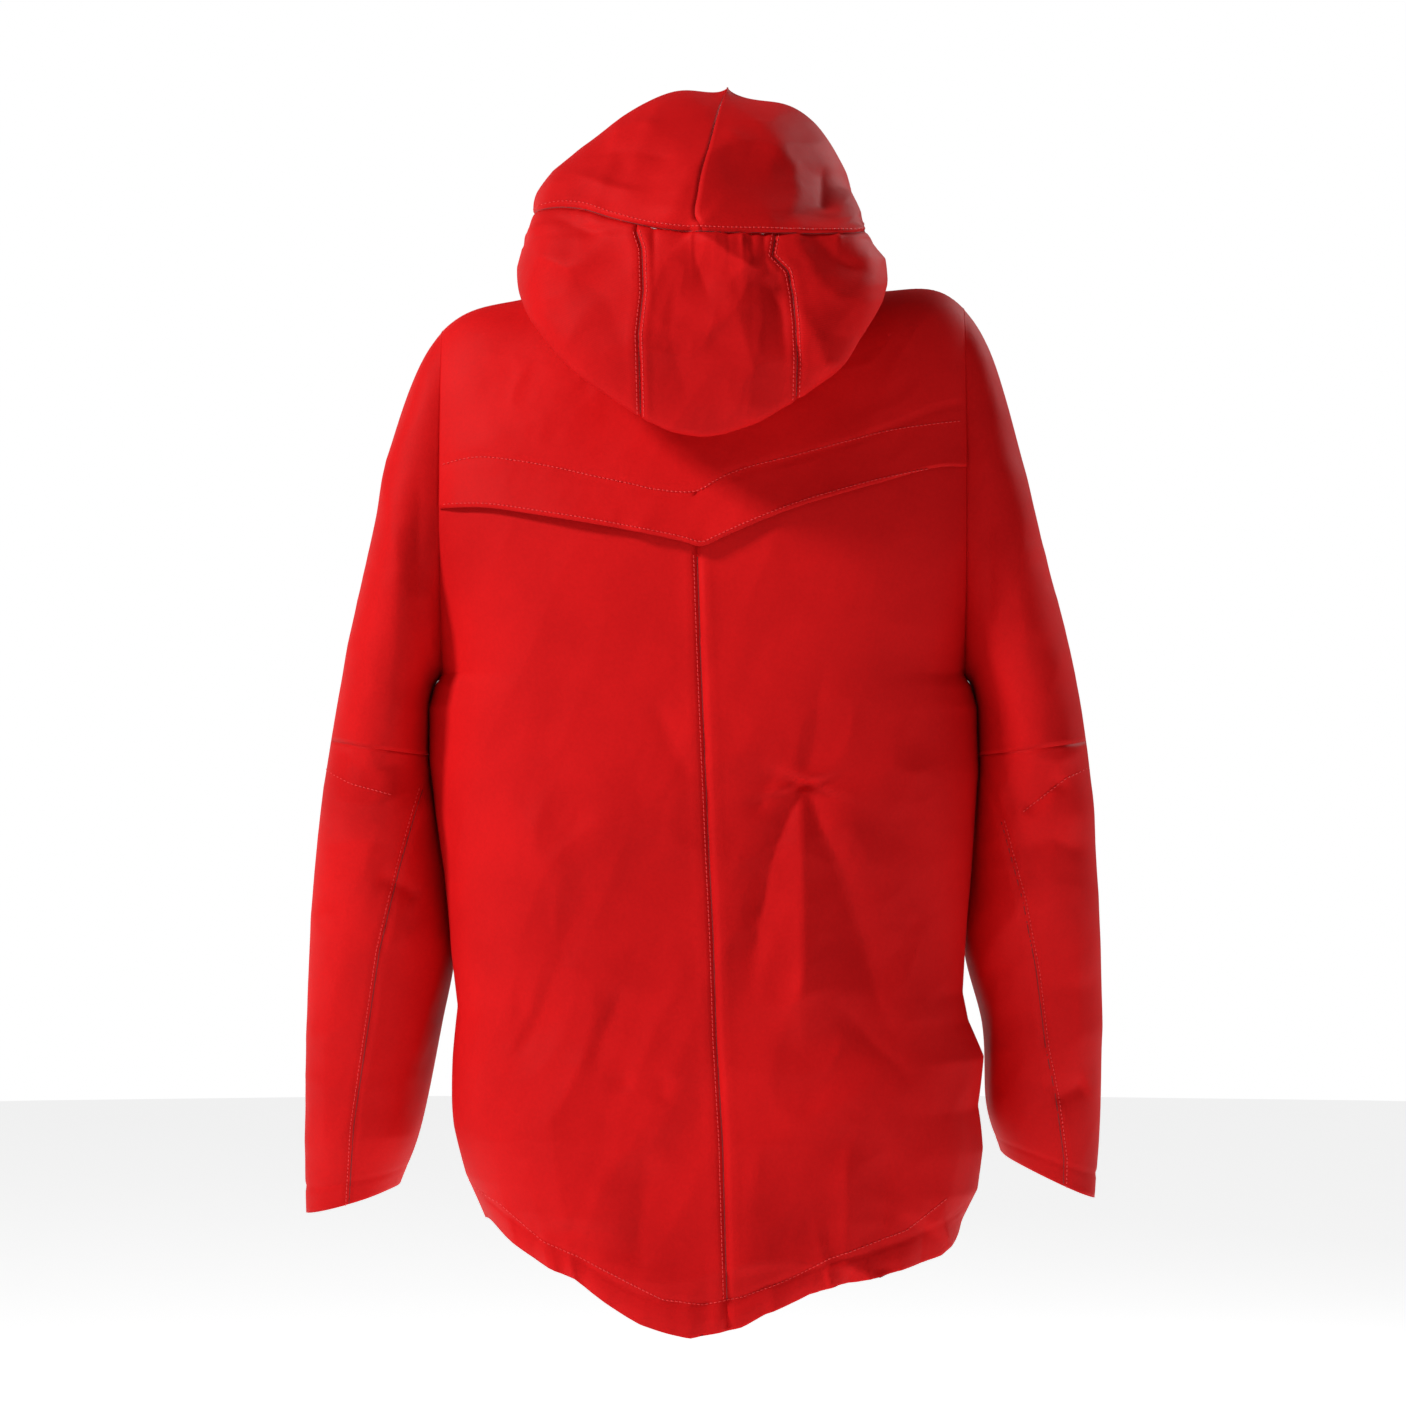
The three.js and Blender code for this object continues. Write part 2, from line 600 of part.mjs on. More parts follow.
// Rings along a sleeve: inner edge x and z, outer edge x and z, half depth, y of its middle.
const sleeve = spline([
  [0.00, ARM_PLANE, -278, ARM_PLANE, -30, 62, 8],
  [0.10, ARM_PLANE + 2, -284, SLEEVE_REACH - 72, -70, 69, 6],
  [0.25, ARM_PLANE + 5, -293, SLEEVE_REACH - 50, -165, 76, 2],
  [0.42, ARM_PLANE + 8, -314, SLEEVE_REACH - 25, -275, 79, -3],
  [0.55, ARM_PLANE + 9, ELBOW_Z, SLEEVE_REACH - 9, ELBOW_Z, 75, -10],
  [0.72, ARM_PLANE + 6, -487, SLEEVE_REACH - 3, -487, 69, -32],
  [0.90, ARM_PLANE + 22, -628, SLEEVE_REACH, -632, 61, -60],
  [1.00, ARM_PLANE + 37, -674, SLEEVE_REACH, -694, 57, -76],
]);
function sleevePoint(a, v) {
  const [ix, iz, ox, oz, depth, yMid] = [1, 2, 3, 4, 5, 6].map((k) => sleeve(v, k));
  const c = power(Math.cos(a), 0.92);
  const s = power(Math.sin(a), 0.92);
  const p = V(mix(ix, ox, (1 + c) / 2), yMid + depth * s, mix(iz, oz, (1 + c) / 2));
  if (v < 0.2) p.lerp(armholePoint(Math.cos(a), Math.sin(a) >= 0), 1 - ease(v / 0.2));
  return p;
}
const ELBOW_V = 0.55;

function mirrored(geometry, side) {
  if (side > 0) return geometry;
  const flipped = geometry.scale(-1, 1, 1);
  const list = flipped.index.array;
  for (let i = 0; i < list.length; i += 3) [list[i + 1], list[i + 2]] = [list[i + 2], list[i + 1]];
  return flipped;
}

function upperSleeve(side) {
  const face = (u, v) => sleevePoint(u * Math.PI * 2, mix(0, ELBOW_V, v)).add(V(ARM_GAP * (1 - v), 0, 0));
  const trim = (q, u, v) => {
    const [fromBody, fromElbow] = [ARM_GAP + 4 * v, ELBOW_GAP / 2 + 6 * (1 - v)];
    return V(Math.max(q.x, ARM_PLANE + fromBody), q.y, Math.max(q.z, ELBOW_Z + fromElbow));
  };
  return mirrored(shell(face, 24, 8, CLOTH, { wrap: true, trim, flip: true }), side);
}
function forearm(side) {
  const face = (u, v) => sleevePoint(u * Math.PI * 2, mix(ELBOW_V, 1, v));
  const trim = (q, u, v) => V(q.x, q.y, Math.min(q.z, ELBOW_Z - ELBOW_GAP / 2 - 6 * v));
  return mirrored(shell(face, 20, 6, CLOTH, { wrap: true, trim, flip: true }), side);
}
function cuffFacing(side) {
  const start = 1 - CUFF_FACING / 330 * 0.45;
  const face = (u, v) => sleevePoint(u * Math.PI * 2, mix(start, 0.998, v));
  return mirrored(shell(face, 20, 1, LINING, { wrap: true, flip: true, lift: -CLOTH - GAP }), side);
}

// Wrist tab on the front of each cuff, over a loop patch.
const TAB_V = 0.925;
const TAB_HALF_V = 0.026;
const TAB_FROM = Math.PI * 1.30;
const TAB_TO = Math.PI * 1.62;
function onCuff(from, to, half, lift, thick, cols, side) {
  const face = (u, v) => sleevePoint(mix(from, to, u), mix(TAB_V - half, TAB_V + half, v));
  return mirrored(shell(face, cols, 2, thick, { flip: true, lift }), side);
}

for (const [side, word] of [[1, 'left'], [-1, 'right']]) {
  const arm = new THREE.Group();
  arm.name = `${word}_arm`;
  jacket.add(arm);
  place(arm, `upper_sleeve_${word}`, upperSleeve(side), 'shell');
  const lower = new THREE.Group();
  lower.name = `${word}_lower_arm`;
  arm.add(lower);
  place(lower, `forearm_${word}`, forearm(side), 'shell');
  place(lower, `cuff_facing_${word}`, cuffFacing(side), 'lining');
  const patchTop = GAP + 0.9;
  place(lower, `cuff_patch_${word}`, onCuff(TAB_FROM + 0.1, TAB_TO, TAB_HALF_V * 0.8, patchTop, 0.9, 8, side), 'loop');
  place(lower, `cuff_tab_${word}`, onCuff(TAB_FROM, TAB_TO - 0.15, TAB_HALF_V, patchTop + GAP + 1.6, 1.6, 8, side), 'plastic');
}

// ---------------------------------------------------------------- hood

// Profiles from the neck seam over the hood to its top middle line, one for each place s round the neck:
// 0 is the middle of the back and 1 the edge of the face opening. Each is a list of x, y, z.
const HT = HOOD_HEIGHT;
const hoodProfiles = [
  [0.00, [[0, 128, -62], [0, 152, -108], [0, 168, -62], [0, 166, 0], [0, 150, 52], [0, 95, 120], [0, 30, HT]]],
  [0.25, [[78, 94, -24], [92, 136, -60], [110, 144, -34], [116, 132, 16], [110, 112, 60], [68, 58, 124], [0, -10, HT + 2]]],
  [0.50, [[103, 20, 28], [128, 34, 15], [140, 40, 22], [136, 36, 50], [122, 22, 84], [74, -18, 131], [0, -55, HT - 1]]],
  [0.75, [[84, -54, 27], [106, -48, 36], [118, -44, 50], [118, -46, 68], [106, -56, 94], [64, -84, 131], [0, -104, HT - 8]]],
  [1.00, [[40, -97, 15], [62, -107, 24], [80, -112, 40], [88, -116, 62], [82, -124, 90], [50, -139, 121], [0, -150, HT - 23]]],
];
const hoodStops = [0, 0.14, 0.28, 0.42, 0.55, 0.7, 0.85, 1];
const neckAngle = (s) => Math.PI / 2 - s * (Math.PI / 2 - chinAngle);
const everyProfile = [];
for (const [s, list] of hoodProfiles) {
  const foot = seamRing(neckAngle(s)).add(V(0, 0, 2.2));
  everyProfile.push([s, [foot.toArray(), ...list]]);
  if (s > 0) everyProfile.unshift([-s, [foot.toArray(), ...list].map(([x, y, z]) => [-x, y, z])]);
}
const hoodLines = everyProfile.map(([s, list]) => [s, spline(list.map((p, i) => [hoodStops[i], ...p]))]);
function hoodPoint(s, r) {
  const rows = hoodLines.map(([at, line]) => [at, line(r, 1), line(r, 2), line(r, 3)]);
  const across = spline(rows);
  return V(across(s, 1), across(s, 2), across(s, 3));
}

// The crown leans: its ridge runs from right of the middle at the top to left of it at the seam.
const lean = spline([[-200, 0], [0, 0], [38, 0], [50, 6], [65, 4], [81, 1], [100, -4], [123, -9], [142, -14], [170, -22]]);
const leaned = (q) => V(q.x + lean(q.z) * (1 - 0.5 * ease(-q.y / 150)), q.y, q.z);
const hoodSeam = (s) => 0.7 - 0.25 * Math.abs(s);
const SIDE_S = 0.135;
const BRIM_S = 0.87;
const HOOD_GAP = 0.004;

function hoodPiece(s0, s1, r0, r1, cols, rows, side, options = {}) {
  const face = (u, v) => {
    const s = mix(s0, s1, u);
    return hoodPoint(side * s, mix(r0(s), r1(s), v));
  };
  return shell(face, cols, rows, CLOTH - 0.4, { flip: side > 0, warp: leaned, ...options });
}
const half = (side) => (q) => V(side * Math.max(side * q.x, GAP / 2 + 0.1), q.y, q.z);
const hood = new THREE.Group();
hood.name = 'hood';
jacket.add(hood);
const seamLow = (s) => hoodSeam(s) - HOOD_GAP;
const seamHigh = (s) => hoodSeam(s) + HOOD_GAP;
for (const [side, word] of [[1, 'left'], [-1, 'right']]) {
  const crown = hoodPiece(0, BRIM_S - HOOD_GAP, seamHigh, () => 1, 9, 6, side, { trim: half(side) });
  place(hood, `hood_crown_${word}`, crown, 'shell');
  const cheek = hoodPiece(SIDE_S + HOOD_GAP, BRIM_S - HOOD_GAP, () => 0, seamLow, 8, 9, side);
  place(hood, `hood_side_${word}`, cheek, 'shell');
}
const middle = hoodPiece(-SIDE_S, SIDE_S, () => 0, seamLow, 4, 10, 1);
place(hood, 'hood_centre_back', middle, 'shell');

// The brim and its facing run from one side of the chin over the face to the other.
function brimBand(s0, s1, cols, thick, lift, ends) {
  const face = (u, v) => {
    const r = mix(ends, 2 - ends, u);
    const side = r <= 1 ? 1 : -1;
    return hoodPoint(side * mix(s0, s1, v), r <= 1 ? r : 2 - r);
  };
  return shell(face, cols, 2, thick, { lift, warp: leaned });
}
place(hood, 'hood_brim', brimBand(BRIM_S + HOOD_GAP, 1, 28, CLOTH, 0, 0.002), 'shell');
place(hood, 'hood_facing', brimBand(0.93, 0.995, 24, LINING, -CLOTH - HOOD_TUNNEL, 0.3), 'lining');

// Face drawcord: in the brim's tunnel, then down inside the chin through a lock on each side.
const HOOD_LOCK = V(33, -66, -10);
function hoodCordPoints() {
  const s = 0.962;
  const e = 1e-3;
  const steps = 26;
  const points = [];
  for (let i = 0; i <= steps; i += 1) {
    const turn = mix(0.26, 1.74, i / steps);
    const [side, r] = turn <= 1 ? [1, turn] : [-1, 2 - turn];
    const p = hoodPoint(side * s, r);
    const dr = hoodPoint(side * s, Math.min(r + e, 1)).sub(hoodPoint(side * s, r - e));
    const ds = hoodPoint(side * (s + e), r).sub(hoodPoint(side * (s - e), r));
    const out = dr.cross(ds).normalize().multiplyScalar(side);
    points.push(leaned(p.addScaledVector(out, -CLOTH - HOOD_TUNNEL / 2)));
  }
  const { x, y, z } = HOOD_LOCK;
  const end = [V(x, y, z - 13), V(x, y, z - 6), V(x, y, z + 8), V(x, y, z + 30), V(x + 4, y - 4, z + 43), V(x + 14, y - 18, z + 44)];
  return [...end, ...points, ...end.reverse().map((p) => V(-p.x, p.y, p.z))];
}
place(hood, 'hood_cord', cordAlong(hoodCordPoints(), 56, 5), 'cord');
for (const [side, word] of [[1, 'left'], [-1, 'right']]) {
  const turned = (manifold) => meshOf(manifold).rotateY(side * Math.PI / 2)
    .translate(side * HOOD_LOCK.x, HOOD_LOCK.y, HOOD_LOCK.z);
  place(hood, `hood_lock_${word}`, turned(lockBarrel()), 'plastic');
  place(hood, `hood_button_${word}`, turned(lockButton()), 'plastic');
}

// Everything moves so that the loop's underside is the origin.
for (const part of jacket.children) part.position.y -= HANG_Y;

export default jacket;
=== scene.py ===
import math

import bpy
import numpy as np
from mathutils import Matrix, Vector
from mathutils.bvhtree import BVHTree


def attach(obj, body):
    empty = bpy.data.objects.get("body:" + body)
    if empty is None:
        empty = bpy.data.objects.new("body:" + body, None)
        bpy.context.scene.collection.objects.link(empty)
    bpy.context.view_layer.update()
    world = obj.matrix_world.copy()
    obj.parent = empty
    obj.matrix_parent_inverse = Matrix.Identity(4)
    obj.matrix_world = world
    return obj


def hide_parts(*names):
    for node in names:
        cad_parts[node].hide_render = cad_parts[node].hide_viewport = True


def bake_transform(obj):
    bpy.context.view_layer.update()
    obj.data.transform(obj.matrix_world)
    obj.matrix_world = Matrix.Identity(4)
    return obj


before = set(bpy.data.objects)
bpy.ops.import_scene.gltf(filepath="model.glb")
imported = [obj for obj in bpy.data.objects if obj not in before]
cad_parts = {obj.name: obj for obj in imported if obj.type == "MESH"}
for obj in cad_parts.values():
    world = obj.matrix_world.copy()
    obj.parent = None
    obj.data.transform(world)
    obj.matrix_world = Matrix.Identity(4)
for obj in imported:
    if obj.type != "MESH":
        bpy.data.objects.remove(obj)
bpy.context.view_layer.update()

# A red hooded hardshell jacket, back up, hanging from the loop at its neck as if worn by nobody.
# Shapes are worked out in millimetres from the middle plane of the body, as in the CAD part,
# and placed in metres with the loop's underside at the origin.
HANG_Y = 52.0
MM = 0.001
ARM_PLANE = 196.0
DRAWN_ON_BACK, DRAWN_ON_SLEEVE, DRAWN_ON_HOOD = 1.7, 1.5, 1.6
SCATTERED_ON_BACK = 1.6
CLOTH = 0.7
PI = math.pi
rng = np.random.default_rng(7)


# ------------------------------------------------------------------ small formulas

def ease(x):
    """Smooth step: 0 below 0, 1 above 1, x*x*(3-2x) between."""
    c = np.clip(x, 0, 1)
    return c * c * (3 - 2 * c)


def mix(a, b, w):
    """Straight blend from a to b."""
    return a + (b - a) * w


def power(x, p):
    """Signed power: keeps the sign of x."""
    return np.sign(x) * np.abs(x) ** p


def hermite(knots, values, at):
    """Cubic through values at the knots; the slope at a knot is that of the line between its neighbours."""
    knots = np.asarray(knots, float)
    values = np.asarray(values, float)
    at = np.asarray(at, float)
    slope = np.empty_like(values)
    wide = (knots[2:] - knots[:-2]).reshape((-1,) + (1,) * (values.ndim - 1))
    slope[1:-1] = (values[2:] - values[:-2]) / wide
    slope[0] = (values[1] - values[0]) / (knots[1] - knots[0])
    slope[-1] = (values[-1] - values[-2]) / (knots[-1] - knots[-2])
    i = np.clip(np.searchsorted(knots, at, side="left") - 1, 0, len(knots) - 2)
    d = (knots[i + 1] - knots[i])[..., None]
    t = ((at - knots[i]) / (knots[i + 1] - knots[i]))[..., None]
    if values.ndim == 2:
        pick = lambda a, j: a[j]
    else:
        pick = lambda a, j: np.take_along_axis(a, j[None, ..., None], 0)[0]
    return (pick(values, i) * (2 * t ** 3 - 3 * t ** 2 + 1) + pick(values, i + 1) * (3 * t ** 2 - 2 * t ** 3)
            + d * (pick(slope, i) * (t ** 3 - 2 * t ** 2 + t) + pick(slope, i + 1) * (t ** 3 - t ** 2)))


def table_curve(rows):
    """A smooth curve through rows of [position, values...]."""
    rows = np.array(rows, float)
    return lambda x: hermite(rows[:, 0], rows[:, 1:], x)


def line_curve(rows):
    """Straight lines through rows of [position, value]."""
    rows = np.array(sorted(rows), float)
    return lambda x: np.interp(x, rows[:, 0], rows[:, 1])


# ------------------------------------------------------------------ creases

def along_line(x, z, line):
    """Signed distance from (x, z) to a polyline, and the share of its length at the nearest point."""
    line = np.array(line, float)
    length = np.linalg.norm(np.diff(line, axis=0), axis=1)
    start = np.concatenate([[0], np.cumsum(length)])
    best = np.full(np.shape(x), 1e9)
    side = np.zeros(np.shape(x))
    share = np.zeros(np.shape(x))
    for k in range(len(line) - 1):
        (ax, az), (bx, bz) = line[k], line[k + 1]
        dx, dz = (bx - ax) / length[k], (bz - az) / length[k]
        run = np.clip((x - ax) * dx + (z - az) * dz, 0, length[k])
        ex, ez = x - (ax + run * dx), z - (az + run * dz)
        dist = np.hypot(ex, ez)
        near = dist < best
        best = np.where(near, dist, best)
        side = np.where(near, dx * ez - dz * ex, side)
        share = np.where(near, (start[k] + run) / start[-1], share)
    return best * np.where(side < 0, -1, 1), share


def crease(x, z, line, height, wide, other=None, fade=(0.15, 0.25)):
    """A fold: height * exp(-(distance / width)^1.15), a width for each side, dying out at both ends."""
    d, share = along_line(x, z, line)
    width = np.where(d < 0, wide, other or wide)
    profile = np.exp(-(np.abs(d) / width) ** 1.15)
    ends = ease(share / max(fade[0], 1e-6)) * ease((1 - share) / max(fade[1], 1e-6))
    return height * profile * ends


def soft_noise(x, z, cell_x, cell_z, seed):
    """Seeded random heights on a lattice, joined by smooth steps; from 0 to 1."""
    grid = np.random.default_rng(seed).random((64, 64))
    u, w = x / cell_x + 400, z / cell_z + 400
    i, j = np.floor(u).astype(int), np.floor(w).astype(int)
    a, b = ease(u - i), ease(w - j)
    i0, i1, j0, j1 = i % 64, (i + 1) % 64, j % 64, (j + 1) % 64
    return mix(mix(grid[i0, j0], grid[i1, j0], a), mix(grid[i0, j1], grid[i1, j1], a), b)


def facets(x, z, seed, tall=1.6):
    """Crumpled laminate: winding sharp ridges where lattice noise crosses its middle, in three sizes."""
    slant = x + 0.35 * z
    total = np.zeros(np.shape(x))
    for k, (cell, height) in enumerate([(70, 5.2), (34, 2.0), (15, 0.7)]):
        n = soft_noise(slant, z, cell, cell * tall, seed + k)
        total += height * (0.5 - np.abs(2 * n - 1) ** 0.85)
    return total


def crumple(x, z, seeds):
    """Sum of short straight folds scattered by a seeded draw."""
    total = np.zeros(np.shape(x))
    for cx, cz, angle, reach, height, wide in seeds:
        dx, dz = math.cos(angle) * reach, math.sin(angle) * reach
        line = [(cx - dx, cz - dz), (cx + dx, cz + dz)]
        total += crease(x, z, line, height, wide, wide * 1.6, (0.5, 0.5))
    return total


def draw_folds(count, x_range, z_range, angle, spread, reach, height, wide):
    """Seeded list of folds: middle, direction, half length, height either way and width."""
    rows = []
    for _ in range(count):
        rows.append((rng.uniform(*x_range), rng.uniform(*z_range), angle + rng.normal(0, spread),
                     rng.uniform(*reach), rng.uniform(*height) * rng.choice([-1, 1]), rng.uniform(*wide)))
    return rows


BACK_CREASES = [
    ([(-92, -260), (-74, -357)], -1.3, 12, 12, (0.5, 0.1)),
    ([(-74, -357), (-43.5, -427), (-31.5, -528)], -4.6, 18, 11, (0.02, 0.5)),
    ([(-72, -360), (-72, -577)], 4.2, 15, 15, (0.03, 0.4)),
    ([(-74, -359), (-113, -477), (-140, -563)], -4.6, 11, 18, (0.02, 0.5)),
    ([(36.8, -295), (23, -333), (4.5, -367)], -1.6, 11, 11, (0.3, 0.3)),
    ([(-54.8, -343), (-36, -389)], -1.5, 10, 10, (0.3, 0.3)),
    ([(55.5, -505), (74, -544), (82, -575)], -2.2, 12, 14, (0.3, 0.3)),
    ([(-94.5, -517), (-118, -550), (-146, -584)], -2.4, 12, 16, (0.3, 0.3)),
    ([(26, -572), (32, -596)], -1.6, 8, 8, (0.3, 0.3)),
    ([(57, -572), (56, -588)], -1.4, 8, 8, (0.3, 0.3)),
    ([(-97, -615), (-97, -735)], 3.2, 13, 11, (0.4, 0.1)),
    ([(-123, -610), (-119, -735)], -3.4, 14, 20, (0.4, 0.1)),
    ([(-188, -570), (-149, -690)], 3.0, 22, 18, (0.3, 0.1)),
    ([(77, -420), (141, -575)], -3.2, 30, 24, (0.35, 0.3)),
    ([(120, -560), (100, -700)], 2.6, 26, 20, (0.4, 0.1)),
    ([(40, -600), (48, -720)], -2.0, 16, 20, (0.4, 0.1)),
    ([(-40, -610), (-30, -725)], 2.0, 18, 14, (0.4, 0.1)),
    ([(150, -330), (120, -420), (70, -470)], 1.6, 26, 26, (0.4, 0.4)),
    ([(-160, -330), (-130, -400)], 2.0, 24, 20, (0.4, 0.4)),
    ([(-170, -430), (-120, -520)], -1.8, 20, 26, (0.4, 0.4)),
    ([(0, -200), (-2, -255)], 0.8, 16, 16, (0.3, 0.3)),
]
BACK_FOLDS = draw_folds(46, (-185, 185), (-700, -330), PI / 2 + 0.1, 0.7, (18, 60), (0.25, 0.9), (7, 18))
HEM_PINCHES = [(x, rng.uniform(-1.0, 1.0), rng.uniform(2.5, 5.5), rng.uniform(14, 46))
               for x in np.linspace(-205, 205, 58) + rng.uniform(-3, 3, 58)]
CENTRE_SEAM = [(4, -150), (4.5, -189), (2.2, -255), (-1.5, -345), (-4.5, -412.5), (-7.5, -472.5),
               (-9.8, -547.5),
               (-14.2, -622.5), (-18, -770)]


def back_relief(x, z):
    """How far the back stands out: drawn creases, scattered folds and the centre seam's groove."""
    out = SCATTERED_ON_BACK * crumple(x, z, BACK_FOLDS)
    for line, height, wide, other, fade in BACK_CREASES:
        out += DRAWN_ON_BACK * crease(x, z, line, height, wide, other, fade)
    out += facets(x, z, 11) * mix(0.35, 1, ease((-z - 230) / 200))
    d, _ = along_line(x, z, CENTRE_SEAM)
    groove = -1.1 * np.exp(-(d / 1.6) ** 2) + 0.7 * np.exp(-((np.abs(d) - 6) / 4) ** 2)
    return out + groove


def hem_relief(x, z, low):
    """Gathers at the drawcord: narrow pinches that die out above the hem; more of them on the right."""
    above = np.maximum(z - low, 0)
    out = np.zeros(np.shape(x))
    for cx, height, wide, reach in HEM_PINCHES:
        more = 1.0 + 1.4 * ease((-cx - 20) / 60) + 0.5 * ease((cx - 60) / 60)
        lead = cx + 0.18 * above * height
        out += 3.0 * more * height * np.exp(-np.abs(x - lead) / wide) * np.exp(-(above / reach) ** 1.4)
    channel = 1.6 * np.exp(-((above - 11) / 9) ** 2) - 1.3 * np.exp(-((above - 25) / 2.6) ** 2)
    return out + channel


# ------------------------------------------------------------------ body

# Rings round the body from hem (0) to neck (1):
# half width, z at the side, front and back, y of the back, y of the sides, roundness of the plan.
RINGS = table_curve([
    [0.00, 170, -690, -652, -766, 127, 4, 2.4],
    [0.12, 191, -600, -578, -660, 132, 4, 2.4],
    [0.33, 192, -450, -440, -478, 125, 5, 2.4],
    [0.56, 195, -290, -310, -295, 125, 7, 2.4],
    [0.74, 221, -150, -190, -152, 116, 8, 2.4],
    [0.885, 198, -31, -100, -48, 84, 6, 2.3],
    [1.00, 78, 24, -60, -6, 62, -8, 2.1],
])
ZIP_TOP_Z, ZIP_TOP_Y, ZIP_SLOPE, ZIP_LENGTH = 10.0, -85.0, 0.058, 652.0
LEFT_SIDE = line_curve([(-900, -6), (-690, -6), (-656, 0), (-620, 0), (-568, -4), (-530, -8), (-487, -2),
                        (-430, 3), (-385, 10), (-345, 14.5), (-305, 13), (-289, 7), (-280, 0), (200, 0)])
RIGHT_SIDE = line_curve([(-900, 22), (-690, 25), (-667, 31), (-637, 27), (-605, 17), (-568, 19), (-541, 7),
                         (-520, 3), (-482, 6), (-434, 10), (-353, 16), (-305, 13), (-289, 7), (-280, 0),
                         (200, 0)])


def zip_y(z):
    """The front zip lies on one straight line that leans forward towards the hem."""
    return ZIP_TOP_Y - ZIP_SLOPE * (ZIP_TOP_Z - z)


def ring_point(t, half, z_side, z_front, z_back, y_back, y_side, round_):
    """A superellipse round the body that also rises and falls between its side, front and back."""
    s = np.sin(t)
    rise = np.abs(s) ** 2.4
    reach = np.where(s >= 0, y_back - y_side, y_side - zip_y(z_front))
    y = y_side + reach * power(s, 2 / round_)
    z = z_side + (np.where(s >= 0, z_back, z_front) - z_side) * rise
    return np.stack([half * power(np.cos(t), 2 / round_), y, z], -1)


def body_plain(t, h):
    """Point of the body at angle t round it (0 side, 90 back) and height h, before any crease."""
    k = RINGS(h)
    return ring_point(t, *[k[..., i] for i in range(7)])


def angle_at_x(h, x):
    """The angle at which a ring is x from the middle plane."""
    k = RINGS(h)
    return np.arccos(np.clip((x / k[..., 0]) ** (k[..., 6] / 2), 0, 1))


def side_angle(h):
    """Where a panel starts: the side seam, or the armhole plane where the ring is wider than it."""
    return np.where(RINGS(h)[..., 0] > ARM_PLANE, angle_at_x(h, ARM_PLANE), 0.0)


def solve(low, high, above):
    """Halves the interval until above(h) turns true, for a whole array at once."""
    a, b = np.array(low, float), np.array(high, float)
    for _ in range(36):
        h = (a + b) / 2
        test = above(h)
        a, b = np.where(test, a, h), np.where(test, h, b)
    return (a + b) / 2


ARM_LOW = float(solve([0.45], [0.74], lambda h: RINGS(h)[..., 0] > ARM_PLANE)[0])
ARM_HIGH = float(solve([0.80], [0.99], lambda h: RINGS(h)[..., 0] < ARM_PLANE)[0])
YOKE_EDGE = table_curve([[-200, -131], [-170, -132], [-136, -139], [-101, -148.5], [-67, -159], [-32, -173],
                         [-12, -182], [1, -187.5], [14, -184], [37, -179], [79, -171], [124, -163.5],
                         [162, -158], [200, -158]])
YOKE_STITCH = table_curve([[-200, -93], [-141, -102], [-101, -112.5], [-67, -122], [-32, -131], [-12, -139],
                           [5, -148.5], [36, -147], [55, -142.5], [81, -137], [106, -131], [141, -124.5],
                           [169, -122], [200, -128]])


def shoulders(p):
    """The right shoulder sits higher than the left one, down to the upper arm."""
    x, z = p[..., 0], p[..., 2]
    high = ease((z + 165) / 130)
    lift = 17 * ease((-x - 100) / 90) * high * (1 - ease((-x - 215) / 40))
    lift += 8 * ease((np.abs(x) - 125) / 60) * high * (1 - ease((np.abs(x) - 240) / 30))
    return p + np.stack([0 * x, 0 * x, lift], -1)


def side_share(c, z):
    """Share of the side's move: a power of the nearness to the seam, higher under the arm."""
    return mix(c ** 1.5, c ** 4, ease((z + 470) / 110))


def side_set(p, t):
    """Moves the sides in or out with height: broadly low down, only close to the seam under the arm."""
    x, z = p[..., 0], p[..., 2]
    off = np.where(x >= 0, LEFT_SIDE(z), -RIGHT_SIDE(z))
    return p + np.stack([off * side_share(np.abs(np.cos(t)), z), 0 * x, 0 * x], -1)


HEM_RISE = line_curve([(205, 6), (151, 7), (118, 14), (96, 20), (77, 15), (47, 6), (10, 0), (-28, 7),
                       (-43, 14),
                       (-73, 20), (-92, 18), (-125, 4), (-156, -12), (-185, -10), (-215, 0)])


def hem_set(p, t, low):
    """Lifts or drops the back of the hem along its length, dying out above it."""
    above = np.maximum(p[..., 2] - low, 0)
    rise = HEM_RISE(p[..., 0]) * np.exp(-above / 70) * ease(np.sin(t) * 3)
    return p + np.stack([0 * rise, 0 * rise, rise], -1)


def body_shape(t, h, side, flap=0.0):
    """The body with its folds: the back moves along Y by back_relief, the front by its own folds."""
    p = body_plain(t, h)
    p[..., 0] *= side
    x, z = p[..., 0].copy(), p[..., 2].copy()
    back = ease(np.sin(t) * 1.6)
    front = ease(-np.sin(t) * 1.6)
    low = body_plain(t, 0 * h)[..., 2]
    upper = 1 - ease((z + 190) / 60)
    p = side_set(hem_set(p, t, low), t)
    move = back * (back_relief(x, z) * upper + hem_relief(x, z, low))
    d, _ = along_line(np.abs(x), z, POCKET_LINE)
    calm = ease((np.abs(x) - 14) / 30) * ease((np.abs(d) - 10) / 22)
    move -= front * ((crumple(x, z, FRONT_FOLDS) + 0.8 * facets(x, z, 21)) * calm
                     + 0.5 * hem_relief(-x, z, low)
                     * ease((np.abs(x) - 20) / 30))
    p[..., 1] += move + flap
    return p


POCKET_LINE = [(108, -372), (140, -524)]
FRONT_FOLDS = draw_folds(34, (-170, 170), (-640, -80), PI / 2, 0.8, (25, 80), (0.6, 2.4), (12, 30))

# ------------------------------------------------------------------ mesh making


def place(p):
    """Millimetres from the body's middle plane to metres from the hanger loop, with the raised shoulder."""
    q = shoulders(np.asarray(p, float)).copy()
    q[..., 1] -= HANG_Y
    return q * MM


